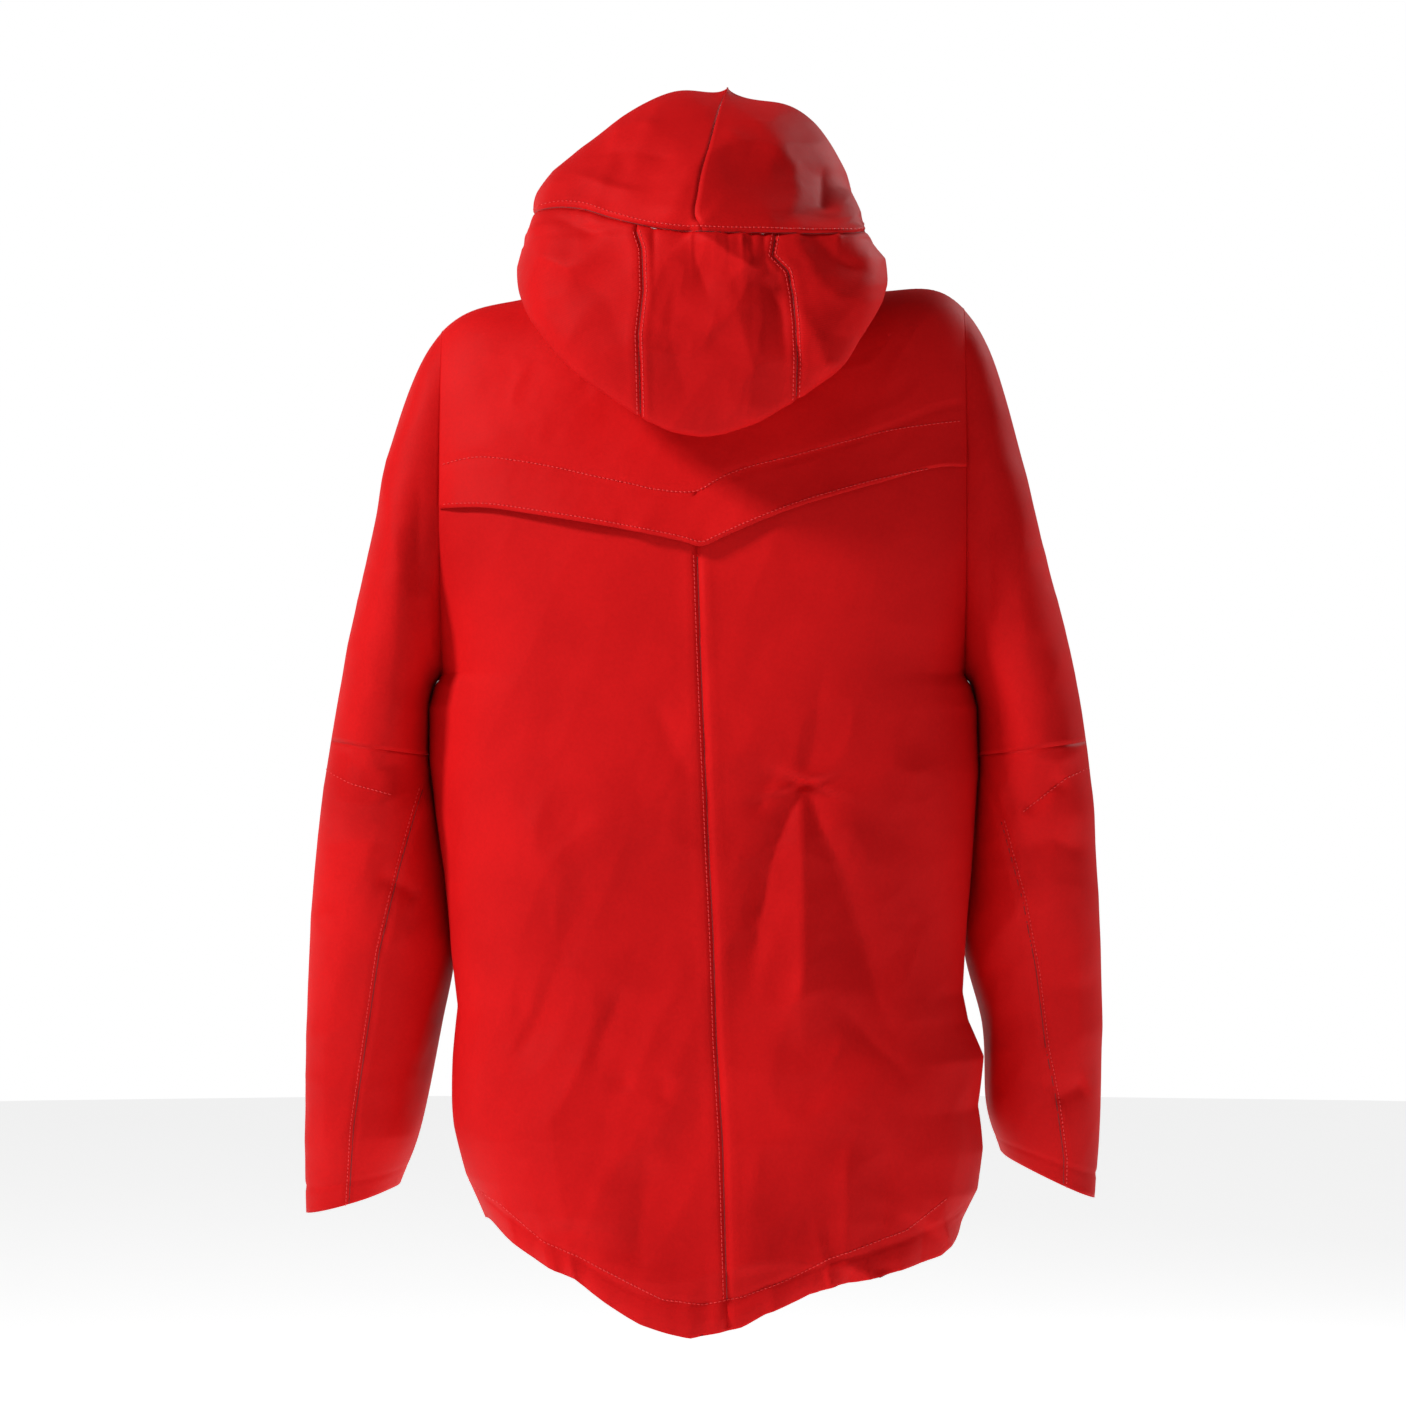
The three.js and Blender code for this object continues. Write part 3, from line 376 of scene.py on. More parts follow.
def grid_faces(rows, cols, wrap):
    """Four-cornered faces of a grid of points, with the columns joined round if wrap."""
    index = np.arange(rows * cols).reshape(rows, cols)
    if wrap:
        index = np.concatenate([index, index[:, :1]], 1)
    return np.stack([index[:-1, :-1], index[:-1, 1:], index[1:, 1:], index[1:, :-1]], -1).reshape(-1, 4)


def grid_uv(p, wrap):
    """Cloth coordinates in metres: length walked across and along the grid."""
    q = np.concatenate([p, p[:, :1]], 1) if wrap else p
    across = np.linalg.norm(np.diff(q, axis=1), axis=-1).mean(0)
    along = np.linalg.norm(np.diff(q, axis=0), axis=-1).mean(1)
    u = np.concatenate([[0], np.cumsum(across)])
    v = np.concatenate([[0], np.cumsum(along)])
    grid = np.stack(np.meshgrid(u, v), -1)
    return np.stack([grid[:-1, :-1], grid[:-1, 1:], grid[1:, 1:], grid[1:, :-1]], 2).reshape(-1, 4, 2)


def new_mesh(name, verts, faces, uv=None):
    """A mesh object at the origin from arrays of points, faces and cloth coordinates."""
    mesh = bpy.data.meshes.new(name)
    mesh.from_pydata(np.asarray(verts, float).reshape(-1, 3).tolist(), [], np.asarray(faces).tolist())
    if uv is not None:
        layer = mesh.uv_layers.new(name="cloth")
        layer.data.foreach_set("uv", np.asarray(uv, np.float32).ravel())
    mesh.polygons.foreach_set("use_smooth", np.ones(len(mesh.polygons), bool))
    mesh.validate()
    obj = bpy.data.objects.new(name, mesh)
    bpy.context.scene.collection.objects.link(obj)
    return obj


def cloth_grid(name, p, wrap=False, inside=None):
    """A cloth face from a grid in millimetres; it looks away from inside, or from the ring's middle."""
    q = place(p)
    faces = grid_faces(q.shape[0], q.shape[1], wrap)
    uv = grid_uv(q, wrap)
    if inside is None:
        away = q - q.mean(1, keepdims=True)
    else:
        away = q - place(np.array([[inside]], float))
    flat, away = q.reshape(-1, 3), away.reshape(-1, 3)
    normal = np.cross(flat[faces[:, 2]] - flat[faces[:, 0]], flat[faces[:, 3]] - flat[faces[:, 1]])
    if (normal * away[faces[:, 0]]).sum() < 0:
        faces, uv = faces[:, ::-1], uv[:, ::-1]
    return new_mesh(name, flat, faces, uv)


def measure(p, wrap=False):
    """Widest row, longest column and area of a grid, in metres."""
    q = place(p)
    if wrap:
        q = np.concatenate([q, q[:, :1]], 1)
    width = np.linalg.norm(np.diff(q, axis=1), axis=-1).sum(1).max()
    length = np.linalg.norm(np.diff(q, axis=0), axis=-1).sum(0).max()
    a = np.cross(q[:-1, 1:] - q[:-1, :-1], q[1:, :-1] - q[:-1, :-1])
    b = np.cross(q[1:, :-1] - q[1:, 1:], q[:-1, 1:] - q[1:, 1:])
    area = (np.linalg.norm(a, axis=-1).sum() + np.linalg.norm(b, axis=-1).sum()) / 2
    return float(width), float(length), float(min(area, 0.99 * width * length))


def walls(obj, outer, inner, thick=CLOTH, offset=-1):
    """Gives cloth its thickness on the inside, with the inner face in its own finish."""
    obj.data.materials.append(outer)
    obj.data.materials.append(inner)
    solid = obj.modifiers.new("thickness", "SOLIDIFY")
    solid.thickness = thick * MM
    solid.offset = offset
    solid.material_offset = 1
    solid.material_offset_rim = 0
    solid.use_rim = True
    return obj


def cloth(name, p, nodes, outer, inner, wrap=False, inside=None, thick=CLOTH, body="shell"):
    """A cloth piece: grid, thickness, finish, CAD nodes and, if body is given, its body; its flat size is
    measured but not kept.
    """
    obj = cloth_grid(name, p, wrap, inside)
    walls(obj, outer, inner, thick)
    if nodes:
        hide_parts(*nodes)
    width, length, area = measure(p, wrap)
    area = max(area, 0.31 * width * length)
    if body:
        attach(obj, body)
    return obj


# ------------------------------------------------------------------ finishes

def new_material(name):
    """A material with only its shader and output left."""
    m = bpy.data.materials.new(name)
    m.use_nodes = True
    return m, m.node_tree.nodes, m.node_tree.links, m.node_tree.nodes["Principled BSDF"]


def add(nodes, kind, **values):
    """A node with settings by attribute or by input name."""
    n = nodes.new(kind)
    for key, value in values.items():
        if hasattr(n, key):
            setattr(n, key, value)
        else:
            n.inputs[key.replace("_", " ")].default_value = value
    return n


def fabric(name, deep, bright, roughness, pitch, weave_depth, sheen=0.0, broad=7.0, speck=0.25):
    """Woven cloth: two crossed thread waves on the cloth coordinates, broad and fine colour drift,
    and roughness that follows the fine drift."""
    m, nodes, links, shader = new_material(name)
    uv = add(nodes, "ShaderNodeUVMap", uv_map="cloth")
    place_ = add(nodes, "ShaderNodeTexCoord")
    threads = []
    for direction in ("X", "Y"):
        wave = add(nodes, "ShaderNodeTexWave", bands_direction=direction, wave_type="BANDS")
        wave.inputs["Scale"].default_value = 0.314 / pitch
        wave.inputs["Distortion"].default_value = 0.6
        wave.inputs["Detail"].default_value = 1.0
        links.new(uv.outputs[0], wave.inputs["Vector"])
        threads.append(wave)
    cross = add(nodes, "ShaderNodeMath", operation="MULTIPLY")
    links.new(threads[0].outputs["Fac"], cross.inputs[0])
    links.new(threads[1].outputs["Fac"], cross.inputs[1])
    drift = add(nodes, "ShaderNodeTexNoise", Scale=broad, Detail=3.0, Roughness=0.55)
    links.new(place_.outputs["Object"], drift.inputs["Vector"])
    fine = add(nodes, "ShaderNodeTexNoise", Scale=420.0, Detail=4.0, Roughness=0.6)
    links.new(place_.outputs["Object"], fine.inputs["Vector"])
    both = add(nodes, "ShaderNodeMix", data_type="FLOAT")
    both.inputs[0].default_value = speck
    links.new(drift.outputs["Fac"], both.inputs[2])
    links.new(fine.outputs["Fac"], both.inputs[3])
    ramp = add(nodes, "ShaderNodeValToRGB")
    ramp.color_ramp.elements[0].position = 0.30
    ramp.color_ramp.elements[0].color = (*deep, 1)
    ramp.color_ramp.elements[1].position = 0.70
    ramp.color_ramp.elements[1].color = (*bright, 1)
    links.new(both.outputs[0], ramp.inputs["Fac"])
    shade = add(nodes, "ShaderNodeMix", data_type="RGBA", blend_type="MULTIPLY")
    shade.inputs[0].default_value = 0.16
    links.new(ramp.outputs["Color"], shade.inputs[6])
    links.new(cross.outputs[0], shade.inputs[7])
    links.new(shade.outputs[2], shader.inputs["Base Color"])
    rough = add(nodes, "ShaderNodeMapRange")
    rough.inputs["To Min"].default_value = roughness - 0.07
    rough.inputs["To Max"].default_value = roughness + 0.07
    links.new(fine.outputs["Fac"], rough.inputs["Value"])
    links.new(rough.outputs[0], shader.inputs["Roughness"])
    bump = add(nodes, "ShaderNodeBump")
    bump.inputs["Strength"].default_value = 0.35
    bump.inputs["Distance"].default_value = weave_depth
    links.new(cross.outputs[0], bump.inputs["Height"])
    grain = add(nodes, "ShaderNodeBump")
    grain.inputs["Strength"].default_value = 0.25
    grain.inputs["Distance"].default_value = 0.0009
    crumb = add(nodes, "ShaderNodeTexNoise", Scale=75.0, Detail=2.0, Roughness=0.5)
    links.new(place_.outputs["Object"], crumb.inputs["Vector"])
    links.new(crumb.outputs["Fac"], grain.inputs["Height"])
    links.new(bump.outputs[0], grain.inputs["Normal"])
    links.new(grain.outputs[0], shader.inputs["Normal"])
    shader.inputs["Sheen Weight"].default_value = sheen
    shader.inputs["Sheen Roughness"].default_value = 0.5
    shader.inputs["Specular IOR Level"].default_value = 0.06
    return m


def hard(name, deep, bright, roughness, metallic=0.0, grain=260.0, depth=0.00006, coat=0.0):
    """Moulded or cast material: fine grain bump, colour drift and uneven gloss."""
    m, nodes, links, shader = new_material(name)
    place_ = add(nodes, "ShaderNodeTexCoord")
    noise = add(nodes, "ShaderNodeTexNoise", Scale=grain, Detail=4.0, Roughness=0.6)
    links.new(place_.outputs["Object"], noise.inputs["Vector"])
    ramp = add(nodes, "ShaderNodeValToRGB")
    ramp.color_ramp.elements[0].position = 0.3
    ramp.color_ramp.elements[0].color = (*deep, 1)
    ramp.color_ramp.elements[1].position = 0.7
    ramp.color_ramp.elements[1].color = (*bright, 1)
    links.new(noise.outputs["Fac"], ramp.inputs["Fac"])
    links.new(ramp.outputs["Color"], shader.inputs["Base Color"])
    rough = add(nodes, "ShaderNodeMapRange")
    rough.inputs["To Min"].default_value = roughness - 0.08
    rough.inputs["To Max"].default_value = roughness + 0.08
    links.new(noise.outputs["Fac"], rough.inputs["Value"])
    links.new(rough.outputs[0], shader.inputs["Roughness"])
    bump = add(nodes, "ShaderNodeBump")
    bump.inputs["Strength"].default_value = 0.4
    bump.inputs["Distance"].default_value = depth
    links.new(noise.outputs["Fac"], bump.inputs["Height"])
    links.new(bump.outputs[0], shader.inputs["Normal"])
    shader.inputs["Metallic"].default_value = metallic
    shader.inputs["Coat Weight"].default_value = coat
    return m


SHELL = fabric("shell_cloth", (0.52, 0.004, 0.005), (0.76, 0.008, 0.009), 0.62, 0.0007, 0.00010, sheen=0.0)
# Painted light: the yoke is the shell's red made a little lighter, for the upper back catching more of the
# lamp.
YOKE_LIT_RED = fabric("yoke_cloth", (0.56, 0.0045, 0.0055), (0.80, 0.009, 0.010), 0.60, 0.0007, 0.00010,
                  sheen=0.0)
BACKER = fabric("inner_face_cloth", (0.10, 0.004, 0.005), (0.15, 0.007, 0.008), 0.8, 0.0011, 0.00012)
LINER = fabric("facing_cloth", (0.16, 0.006, 0.008), (0.22, 0.010, 0.012), 0.75, 0.0010, 0.00012)
TAPE = fabric("zip_tape_cloth", (0.030, 0.008, 0.009), (0.050, 0.012, 0.014), 0.7, 0.0008, 0.00014)
STRAP = fabric("loop_webbing", (0.030, 0.032, 0.036), (0.055, 0.058, 0.064), 0.7, 0.0012, 0.00025)
HOOKS = fabric("loop_patch", (0.05, 0.006, 0.008), (0.09, 0.010, 0.012), 0.9, 0.0015, 0.0004, sheen=0.4)
BRAID = fabric("cord_braid", (0.03, 0.03, 0.034), (0.07, 0.07, 0.075), 0.6, 0.0011, 0.0002)
THREAD = hard("stitch_thread", (0.72, 0.012, 0.014), (0.82, 0.022, 0.022), 0.5, grain=900.0)
SEAM_LINE = hard("seam_shadow", (0.20, 0.003, 0.004), (0.28, 0.004, 0.005), 0.8, grain=500.0)
METAL = hard("slider_metal", (0.36, 0.36, 0.37), (0.52, 0.52, 0.53), 0.34, metallic=1.0, grain=700.0)
PLASTIC = hard("trim_plastic", (0.012, 0.012, 0.014), (0.026, 0.026, 0.028), 0.45)
RUBBER = hard("tab_rubber", (0.30, 0.004, 0.006), (0.42, 0.008, 0.010), 0.5, grain=180.0, depth=0.0001)
TEETH = hard("coil_teeth", (0.025, 0.008, 0.009), (0.05, 0.014, 0.015), 0.35, grain=800.0)

# ------------------------------------------------------------------ camera, light and floor

CENTRE_Z = -0.302
camera = bpy.data.objects.new("camera", bpy.data.cameras.new("camera"))
bpy.context.scene.collection.objects.link(camera)
camera.location = (0.0, 3.48, CENTRE_Z)
camera.rotation_euler = (math.radians(90), 0, math.radians(180))
camera.data.lens = 119.5
camera.data.sensor_width = 36
camera.data.clip_end = 60
bpy.context.scene.camera = camera
bpy.context.scene.view_settings.view_transform = "Standard"


def area_light(name, place_, aim, size, watts):
    """A square soft light at one point that looks at another."""
    data = bpy.data.lights.new(name, "AREA")
    data.size = size
    data.energy = watts
    obj = bpy.data.objects.new(name, data)
    bpy.context.scene.collection.objects.link(obj)
    obj.location = place_
    obj.rotation_euler = (Vector(aim) - Vector(place_)).to_track_quat("-Z", "Y").to_euler()


area_light("key_back", (2.7, 1.15, 1.9), (0, 0, -0.3), 0.55, 118)
area_light("fill_back", (-0.8, 3.4, 0.6), (0, 0, -0.3), 2.4, 8)
area_light("key_front", (-2.2, -2.2, 1.6), (0, 0, -0.3), 0.9, 62)
area_light("fill_front", (1.6, -3.2, 0.2), (0, 0, -0.3), 2.2, 10)

world = bpy.data.worlds.new("studio")
world.use_nodes = True
bpy.context.scene.world = world
w_nodes, w_links = world.node_tree.nodes, world.node_tree.links
room = w_nodes["Background"]
room.inputs["Color"].default_value = (1, 1, 1, 1)
room.inputs["Strength"].default_value = 0.12
seen = w_nodes.new("ShaderNodeBackground")
seen.inputs["Color"].default_value = (1, 1, 1, 1)
seen.inputs["Strength"].default_value = 1.0
ray = w_nodes.new("ShaderNodeLightPath")
choose = w_nodes.new("ShaderNodeMixShader")
w_links.new(ray.outputs["Is Camera Ray"], choose.inputs[0])
w_links.new(room.outputs[0], choose.inputs[1])
w_links.new(seen.outputs[0], choose.inputs[2])
w_links.new(choose.outputs[0], w_nodes["World Output"].inputs["Surface"])

FLOOR_Z = -1.35
turn = np.linspace(0, 2 * PI, 65)[:-1]
radius = np.linspace(0.02, 9, 12)
disc = np.stack([radius[:, None] * np.cos(turn), radius[:, None] * np.sin(turn),
                 np.full((12, 64), FLOOR_Z)], -1)
floor = new_mesh("floor", disc, grid_faces(12, 64, True))
floor_look, f_nodes, f_links, f_shader = new_material("pale_floor")
f_place = add(f_nodes, "ShaderNodeTexCoord")
f_noise = add(f_nodes, "ShaderNodeTexNoise", Scale=2.0)
f_ramp = add(f_nodes, "ShaderNodeValToRGB")
f_ramp.color_ramp.elements[0].color = (0.86, 0.86, 0.86, 1)
f_ramp.color_ramp.elements[1].color = (0.90, 0.90, 0.90, 1)
f_links.new(f_place.outputs["Object"], f_noise.inputs["Vector"])
f_links.new(f_noise.outputs["Fac"], f_ramp.inputs["Fac"])
f_links.new(f_ramp.outputs["Color"], f_shader.inputs["Base Color"])
f_shader.inputs["Roughness"].default_value = 0.9
f_shader.inputs["Emission Color"].default_value = (1, 1, 1, 1)
f_shader.inputs["Emission Strength"].default_value = 0.75
floor.data.materials.append(floor_look)

# ------------------------------------------------------------------ back, front and yoke


def rows_through(count, stops):
    """Even steps from 0 to 1 with the given stops among them."""
    return np.unique(np.concatenate([np.linspace(0, 1, count), stops]))


def back_panel(side):
    """Columns from side seam to centre seam; rows from the hem to just above the yoke's stitch line."""
    u = np.linspace(0, 1, 96)
    middle = line_curve([(z, x) for x, z in CENTRE_SEAM])

    def angles(h, uu):
        """From the side's angle to the middle of the back, by the share uu."""
        return mix(side_angle(h), PI / 2, uu)

    def z_over(h):
        """Whether a ring's point lies above the yoke's stitch line."""
        p = body_plain(angles(h, u), h)
        return p[..., 2] > YOKE_STITCH(side * p[..., 0])[..., 0] + 8
    top = solve(0 * u + 0.3, 0 * u + 0.98, z_over)
    v = np.linspace(0, 1, 250)
    h = v[:, None] * top[None, :]
    uu = np.broadcast_to(u, h.shape)
    t = angles(h, uu)
    p = body_plain(t, h)
    # Columns lean so that the last one runs along the centre seam.
    want = side * middle(p[..., 2])
    p_x = p[..., 0] + want * uu ** 2
    k = RINGS(h)
    t = np.arccos(np.clip(power(p_x / k[..., 0], k[..., 6] / 2), -1, 1))
    t = np.where(uu == 0, side_angle(h), t)
    return body_shape(t, h, side)


def front_panel(side):
    """Columns from the side seam to the zip; rows from the hem to the neck."""
    v = rows_through(170, [ARM_LOW, ARM_HIGH])
    h, u = np.meshgrid(v, np.linspace(0, 1, 80) ** 0.8, indexing="ij")
    t = -mix(side_angle(h), angle_at_x(h, 6.4), u)
    p = body_shape(t, h, side)
    p[..., 1] -= 1.9 * ease((19 - np.abs(p[..., 0])) / 5)
    return p


def yoke_grid():
    """From the loose pointed edge over the shoulders to the neck; it stands off most at its loose edge."""
    u = np.linspace(0, 1, 190)

    def angles(h):
        """From one side's angle to the other's, by the share u."""
        t0 = side_angle(h)
        return mix(t0, PI - t0, u)

    def over(h):
        """Whether a ring's point lies above the yoke's edge."""
        p = body_plain(angles(h), h)
        return p[..., 2] > YOKE_EDGE(p[..., 0])[..., 0]
    low = solve(0 * u + 0.3, 0 * u + 0.98, over)
    part = np.linspace(0, 1, 64)[:, None]
    lower = mix(low[None, :], ARM_HIGH, np.sin(part * PI / 2))
    upper = np.broadcast_to(np.linspace(ARM_HIGH, 1.0, 26)[1:, None], (25, 190))
    h = np.concatenate([lower, upper])
    t0 = side_angle(h)
    t = mix(t0, PI - t0, np.broadcast_to(u, h.shape))
    p = body_plain(t, h)
    x, z = p[..., 0], p[..., 2]
    span = YOKE_STITCH(x)[..., 0] - YOKE_EDGE(x)[..., 0]
    below = np.clip((YOKE_STITCH(x)[..., 0] - z) / span, 0, 1)
    edge = ease((ARM_PLANE + 1 - np.abs(x)) / 16)
    lift = 1.3 * (1 - ease((z - YOKE_STITCH(x)[..., 0]) / 30)) + 5.0 * below ** 1.4
    groove = -0.9 * np.exp(-((z - YOKE_STITCH(x)[..., 0]) / 2.0) ** 2) * ease((196 - np.abs(x)) / 6)
    waves = 0.9 * np.sin(x / 17 + 1.3) * below
    waves += (crumple(x, z, YOKE_FOLDS) + 0.6 * facets(x, z, 61, 1.0)) * ease((185 - np.abs(x)) / 50)
    p[..., 1] += (mix(0.4, 1, edge) * lift + groove + waves * edge) * ease(np.sin(t) * 2.5)
    return p


YOKE_FOLDS = draw_folds(12, (-150, 150), (-150, -60), 0.2, 0.8, (15, 45), (0.3, 1.0), (8, 16))
for side, word in [(1, "left"), (-1, "right")]:
    cloth(f"lower_back_{word}", back_panel(side), [f"back_{word}_panel"], SHELL, BACKER,
          inside=(0, 0, -350))
    cloth(f"front_{word}_cloth", front_panel(side), [f"front_{word}_panel"], SHELL, BACKER,
          inside=(0, 0, -350))
cloth("yoke_cloth", yoke_grid(), ["back_yoke"], YOKE_LIT_RED, BACKER, inside=(0, 0, -350))

# ------------------------------------------------------------------ sleeves

SLEEVE_ROWS = {
    1: [[0.00, 196, -278, 196, -30, 62, 8], [0.10, 200, -284, 225, -70, 69, 6],
        [0.25, 203.5, -293, 247, -165, 76, 2],
        [0.42, 205.5, -314, 271, -275, 79, -3], [0.55, 203.5, -365, 287, -365, 75, -10],
        [0.64, 195, -426, 295, -426, 72, -21], [0.72, 189, -487, 300, -487, 69, -32],
        [0.80, 200, -548, 303, -549, 66, -45], [0.90, 217, -628, 305.5, -632, 61, -60],
        [1.00, 234, -673, 306, -694, 57, -76]],
    -1: [[0.00, 196, -278, 196, -30, 62, 8], [0.10, 200, -284, 226, -70, 69, 6],
         [0.25, 203.5, -293, 251, -165, 76, 2],
         [0.42, 206, -314, 280, -275, 79, -3], [0.55, 206, -365, 294, -365, 75, -10],
         [0.64, 202, -426, 299, -426, 72, -21], [0.72, 199, -487, 303, -487, 69, -32],
         [0.80, 214, -548, 305, -549, 66, -45], [0.90, 218, -610, 305, -626, 61, -60],
         [1.00, 230, -648, 302, -683, 57, -76]],
}
SLEEVE = {side: table_curve(rows) for side, rows in SLEEVE_ROWS.items()}
ELBOW_V = 0.50
SLEEVE_CREASES = {
    1: [([(245, -431), (229, -436), (210, -448)], -2.6, 6, 9, (0.2, 0.2)),
        ([(189, -460), (229, -603)], 2.4, 14, 12, (0.2, 0.3)),
        ([(284, -330), (250, -352), (215, -345)], -2.6, 10, 12, (0.3, 0.3)),
        ([(215, -366), (245, -378), (280, -372)], 2.2, 10, 12, (0.3, 0.3)),
        ([(290, -410), (255, -404), (225, -412)], -1.8, 9, 9, (0.3, 0.3)),
        ([(262, -450), (282, -560), (285, -660)], 2.4, 18, 14, (0.3, 0.2)),
        ([(240, -90), (225, -200), (232, -300)], 2.2, 20, 22, (0.3, 0.3)),
        ([(210, -120), (212, -250)], -1.6, 9, 12, (0.3, 0.3))],
    -1: [([(-270, -357), (-237, -384)], -2.8, 7, 9, (0.2, 0.2)),
         ([(-266, -603), (-290, -590)], -2.8, 8, 10, (0.2, 0.1)),
         ([(-222, -500), (-222, -640)], 2.6, 12, 14, (0.2, 0.2)),
         ([(-292, -330), (-262, -345), (-225, -335)], 2.2, 10, 12, (0.3, 0.3)),
         ([(-290, -415), (-262, -404), (-235, -410)], -2.0, 9, 9, (0.3, 0.3)),
         ([(-280, -450), (-283, -580)], 2.2, 16, 14, (0.3, 0.3)),
         ([(-245, -110), (-232, -210), (-245, -310)], 2.4, 20, 22, (0.3, 0.3)),
         ([(-212, -140), (-214, -260)], -1.6, 9, 12, (0.3, 0.3))],
}
SLEEVE_SEAM = {
    1: [(192.8, -328), (210, -367), (227, -426), (233, -450), (242, -487), (253, -554), (264, -622),
        (271, -700)],
    -1: [(-207, -340), (-223, -391), (-239, -450), (-250, -503), (-258, -562), (-266, -597), (-274, -648),
         (-275, -700)],
}
SLEEVE_FOLDS = {side: draw_folds(26, sorted((side * 205, side * 292)), (-660, -120), 0.25, 0.8, (14, 40),
                                 (0.4, 1.3), (7, 15)) for side in (1, -1)}
SLEEVE_FRONT = {side: draw_folds(22, sorted((side * 205, side * 292)), (-660, -120), 0.1, 0.9, (14, 45),
                                 (0.6, 1.8), (8, 18)) for side in (1, -1)}


def armhole(c, back):
    """Outline of the armhole in its plane: c runs from 1 at the shoulder to -1 under the arm."""
    z_top = body_plain(np.zeros(1), np.full(1, ARM_HIGH))[0, 2]
    z_low = body_plain(np.zeros(1), np.full(1, ARM_LOW))[0, 2]
    want = mix(z_low, z_top, (c + 1) / 2)
    sign = np.where(back, 1.0, -1.0)

    def at(h):
        """The body's point on the armhole plane at one height."""
        return body_plain(sign * angle_at_x(h, ARM_PLANE), h)
    return at(solve(np.full(np.shape(c), ARM_LOW), np.full(np.shape(c), ARM_HIGH),
                    lambda h: at(h)[..., 2] >= want))


def body_edge(y, z, side):
    """How far the body's side reaches at a given depth and height, from its ring's superellipse."""
    h = np.linspace(0, 0.75, 300)
    k = RINGS(h)
    rows = [np.interp(z, k[:, 1], k[:, i]) for i in (0, 4, 5)]
    half, y_back, y_side = rows
    reach = np.where(y >= y_side, y_back - y_side, y_side - zip_y(z))
    part = np.clip(np.abs(y - y_side) / reach, 0, 1)
    round_part = (1 - part ** 2.4)
    off = LEFT_SIDE(z) if side > 0 else RIGHT_SIDE(z)
    edge = half * round_part ** (1 / 2.4) + off * side_share(np.sqrt(round_part), z)
    return np.minimum(edge, np.where(z > -285, ARM_PLANE, 400))


def sleeve_shape(a, v, side):
    """Rings of the sleeve, tilted from the armhole to the cuff, with a dent beside the body and their folds.
    a is 0 outside, 180 inside, 90 at the back."""
    k = SLEEVE[side](v)
    ix, iz, ox, oz, depth, y_mid = [k[..., i] for i in range(6)]
    c, s = power(np.cos(a), 0.92), power(np.sin(a), 0.92)
    p = np.stack([mix(ix, ox, (1 + c) / 2), y_mid + depth * s, mix(iz, oz, (1 + c) / 2)], -1)
    root = armhole(np.cos(a), np.sin(a) >= -1e-9)
    p = mix(p, root, (1 - ease(v / 0.2))[..., None])
    turn_in = a - PI
    clear = body_edge(p[..., 1], p[..., 2], side) + 1.0 * ease(v / 0.1)
    over = clear - p[..., 0]
    p[..., 0] += np.where((v > 0.01) & (over > -1.6), np.where(over < 1.6, (over + 1.6) ** 2 / 6.4, over), 0)
    x, z = side * p[..., 0], p[..., 2]
    away = ease((v - 0.03) / 0.12)
    back = ease(np.sin(a) * 1.5) * away
    front = ease(-np.sin(a) * 1.5) * away
    fold = back * (crumple(x, z, SLEEVE_FOLDS[side]) + 0.75 * facets(x, z, 31, 1.2))
    fold += front * (crumple(x, z, SLEEVE_FRONT[side]) + 0.75 * facets(x, z, 41, 1.2))
    for line, height, wide, other, fade in SLEEVE_CREASES[side]:
        fold += DRAWN_ON_SLEEVE * back * crease(x, z, line, height, wide, other, fade)
    d, _ = along_line(x, z, SLEEVE_SEAM[side])
    fold += back * (-1.0 * np.exp(-(d / 1.6) ** 2) + 0.5 * np.exp(-((np.abs(d) - 5) / 3) ** 2))
    fold *= 1 - front * ease((v - 0.84) / 0.05)
    fold -= 0.9 * np.exp(-((v - 0.965) / 0.004) ** 2)
    fold = fold * (1 - 0.8 * np.exp(-(turn_in / 0.4) ** 2))
    length = np.sqrt((np.cos(a) * 0.9) ** 2 + np.sin(a) ** 2)
    p[..., 0] += fold * np.cos(a) / length * 0.9
    p[..., 1] += fold * np.sin(a) / length
    p[..., 0] *= side
    return p


ring = np.linspace(0, 2 * PI, 113)[:-1]
for side, word in [(1, "left"), (-1, "right")]:
    v = np.concatenate([np.linspace(0, 0.03, 13), np.linspace(0.03, 0.12, 18)[1:],
                        np.linspace(0.12, ELBOW_V, 58)[1:]])
    vv, aa = np.meshgrid(v, ring, indexing="ij")
    upper = sleeve_shape(aa, vv, side)
    tuck = upper[:1].copy()
    middle_ = tuck.mean(1, keepdims=True)
    tuck = middle_ + (tuck - middle_) * 0.985
    tuck[..., 0] = side * (ARM_PLANE - 3)
    upper = np.concatenate([tuck, upper])
    obj = cloth(f"upper_sleeve_cloth_{word}", upper, [f"upper_sleeve_{word}"], SHELL, BACKER,
                wrap=True, body=None)
    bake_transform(obj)
    vv, aa = np.meshgrid(np.linspace(ELBOW_V, 1, 110), ring, indexing="ij")
    lower = sleeve_shape(aa, vv, side)
    obj = cloth(f"forearm_cloth_{word}", lower, [f"forearm_{word}"], SHELL, BACKER,
                wrap=True, body=None)
    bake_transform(obj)

# ------------------------------------------------------------------ hood

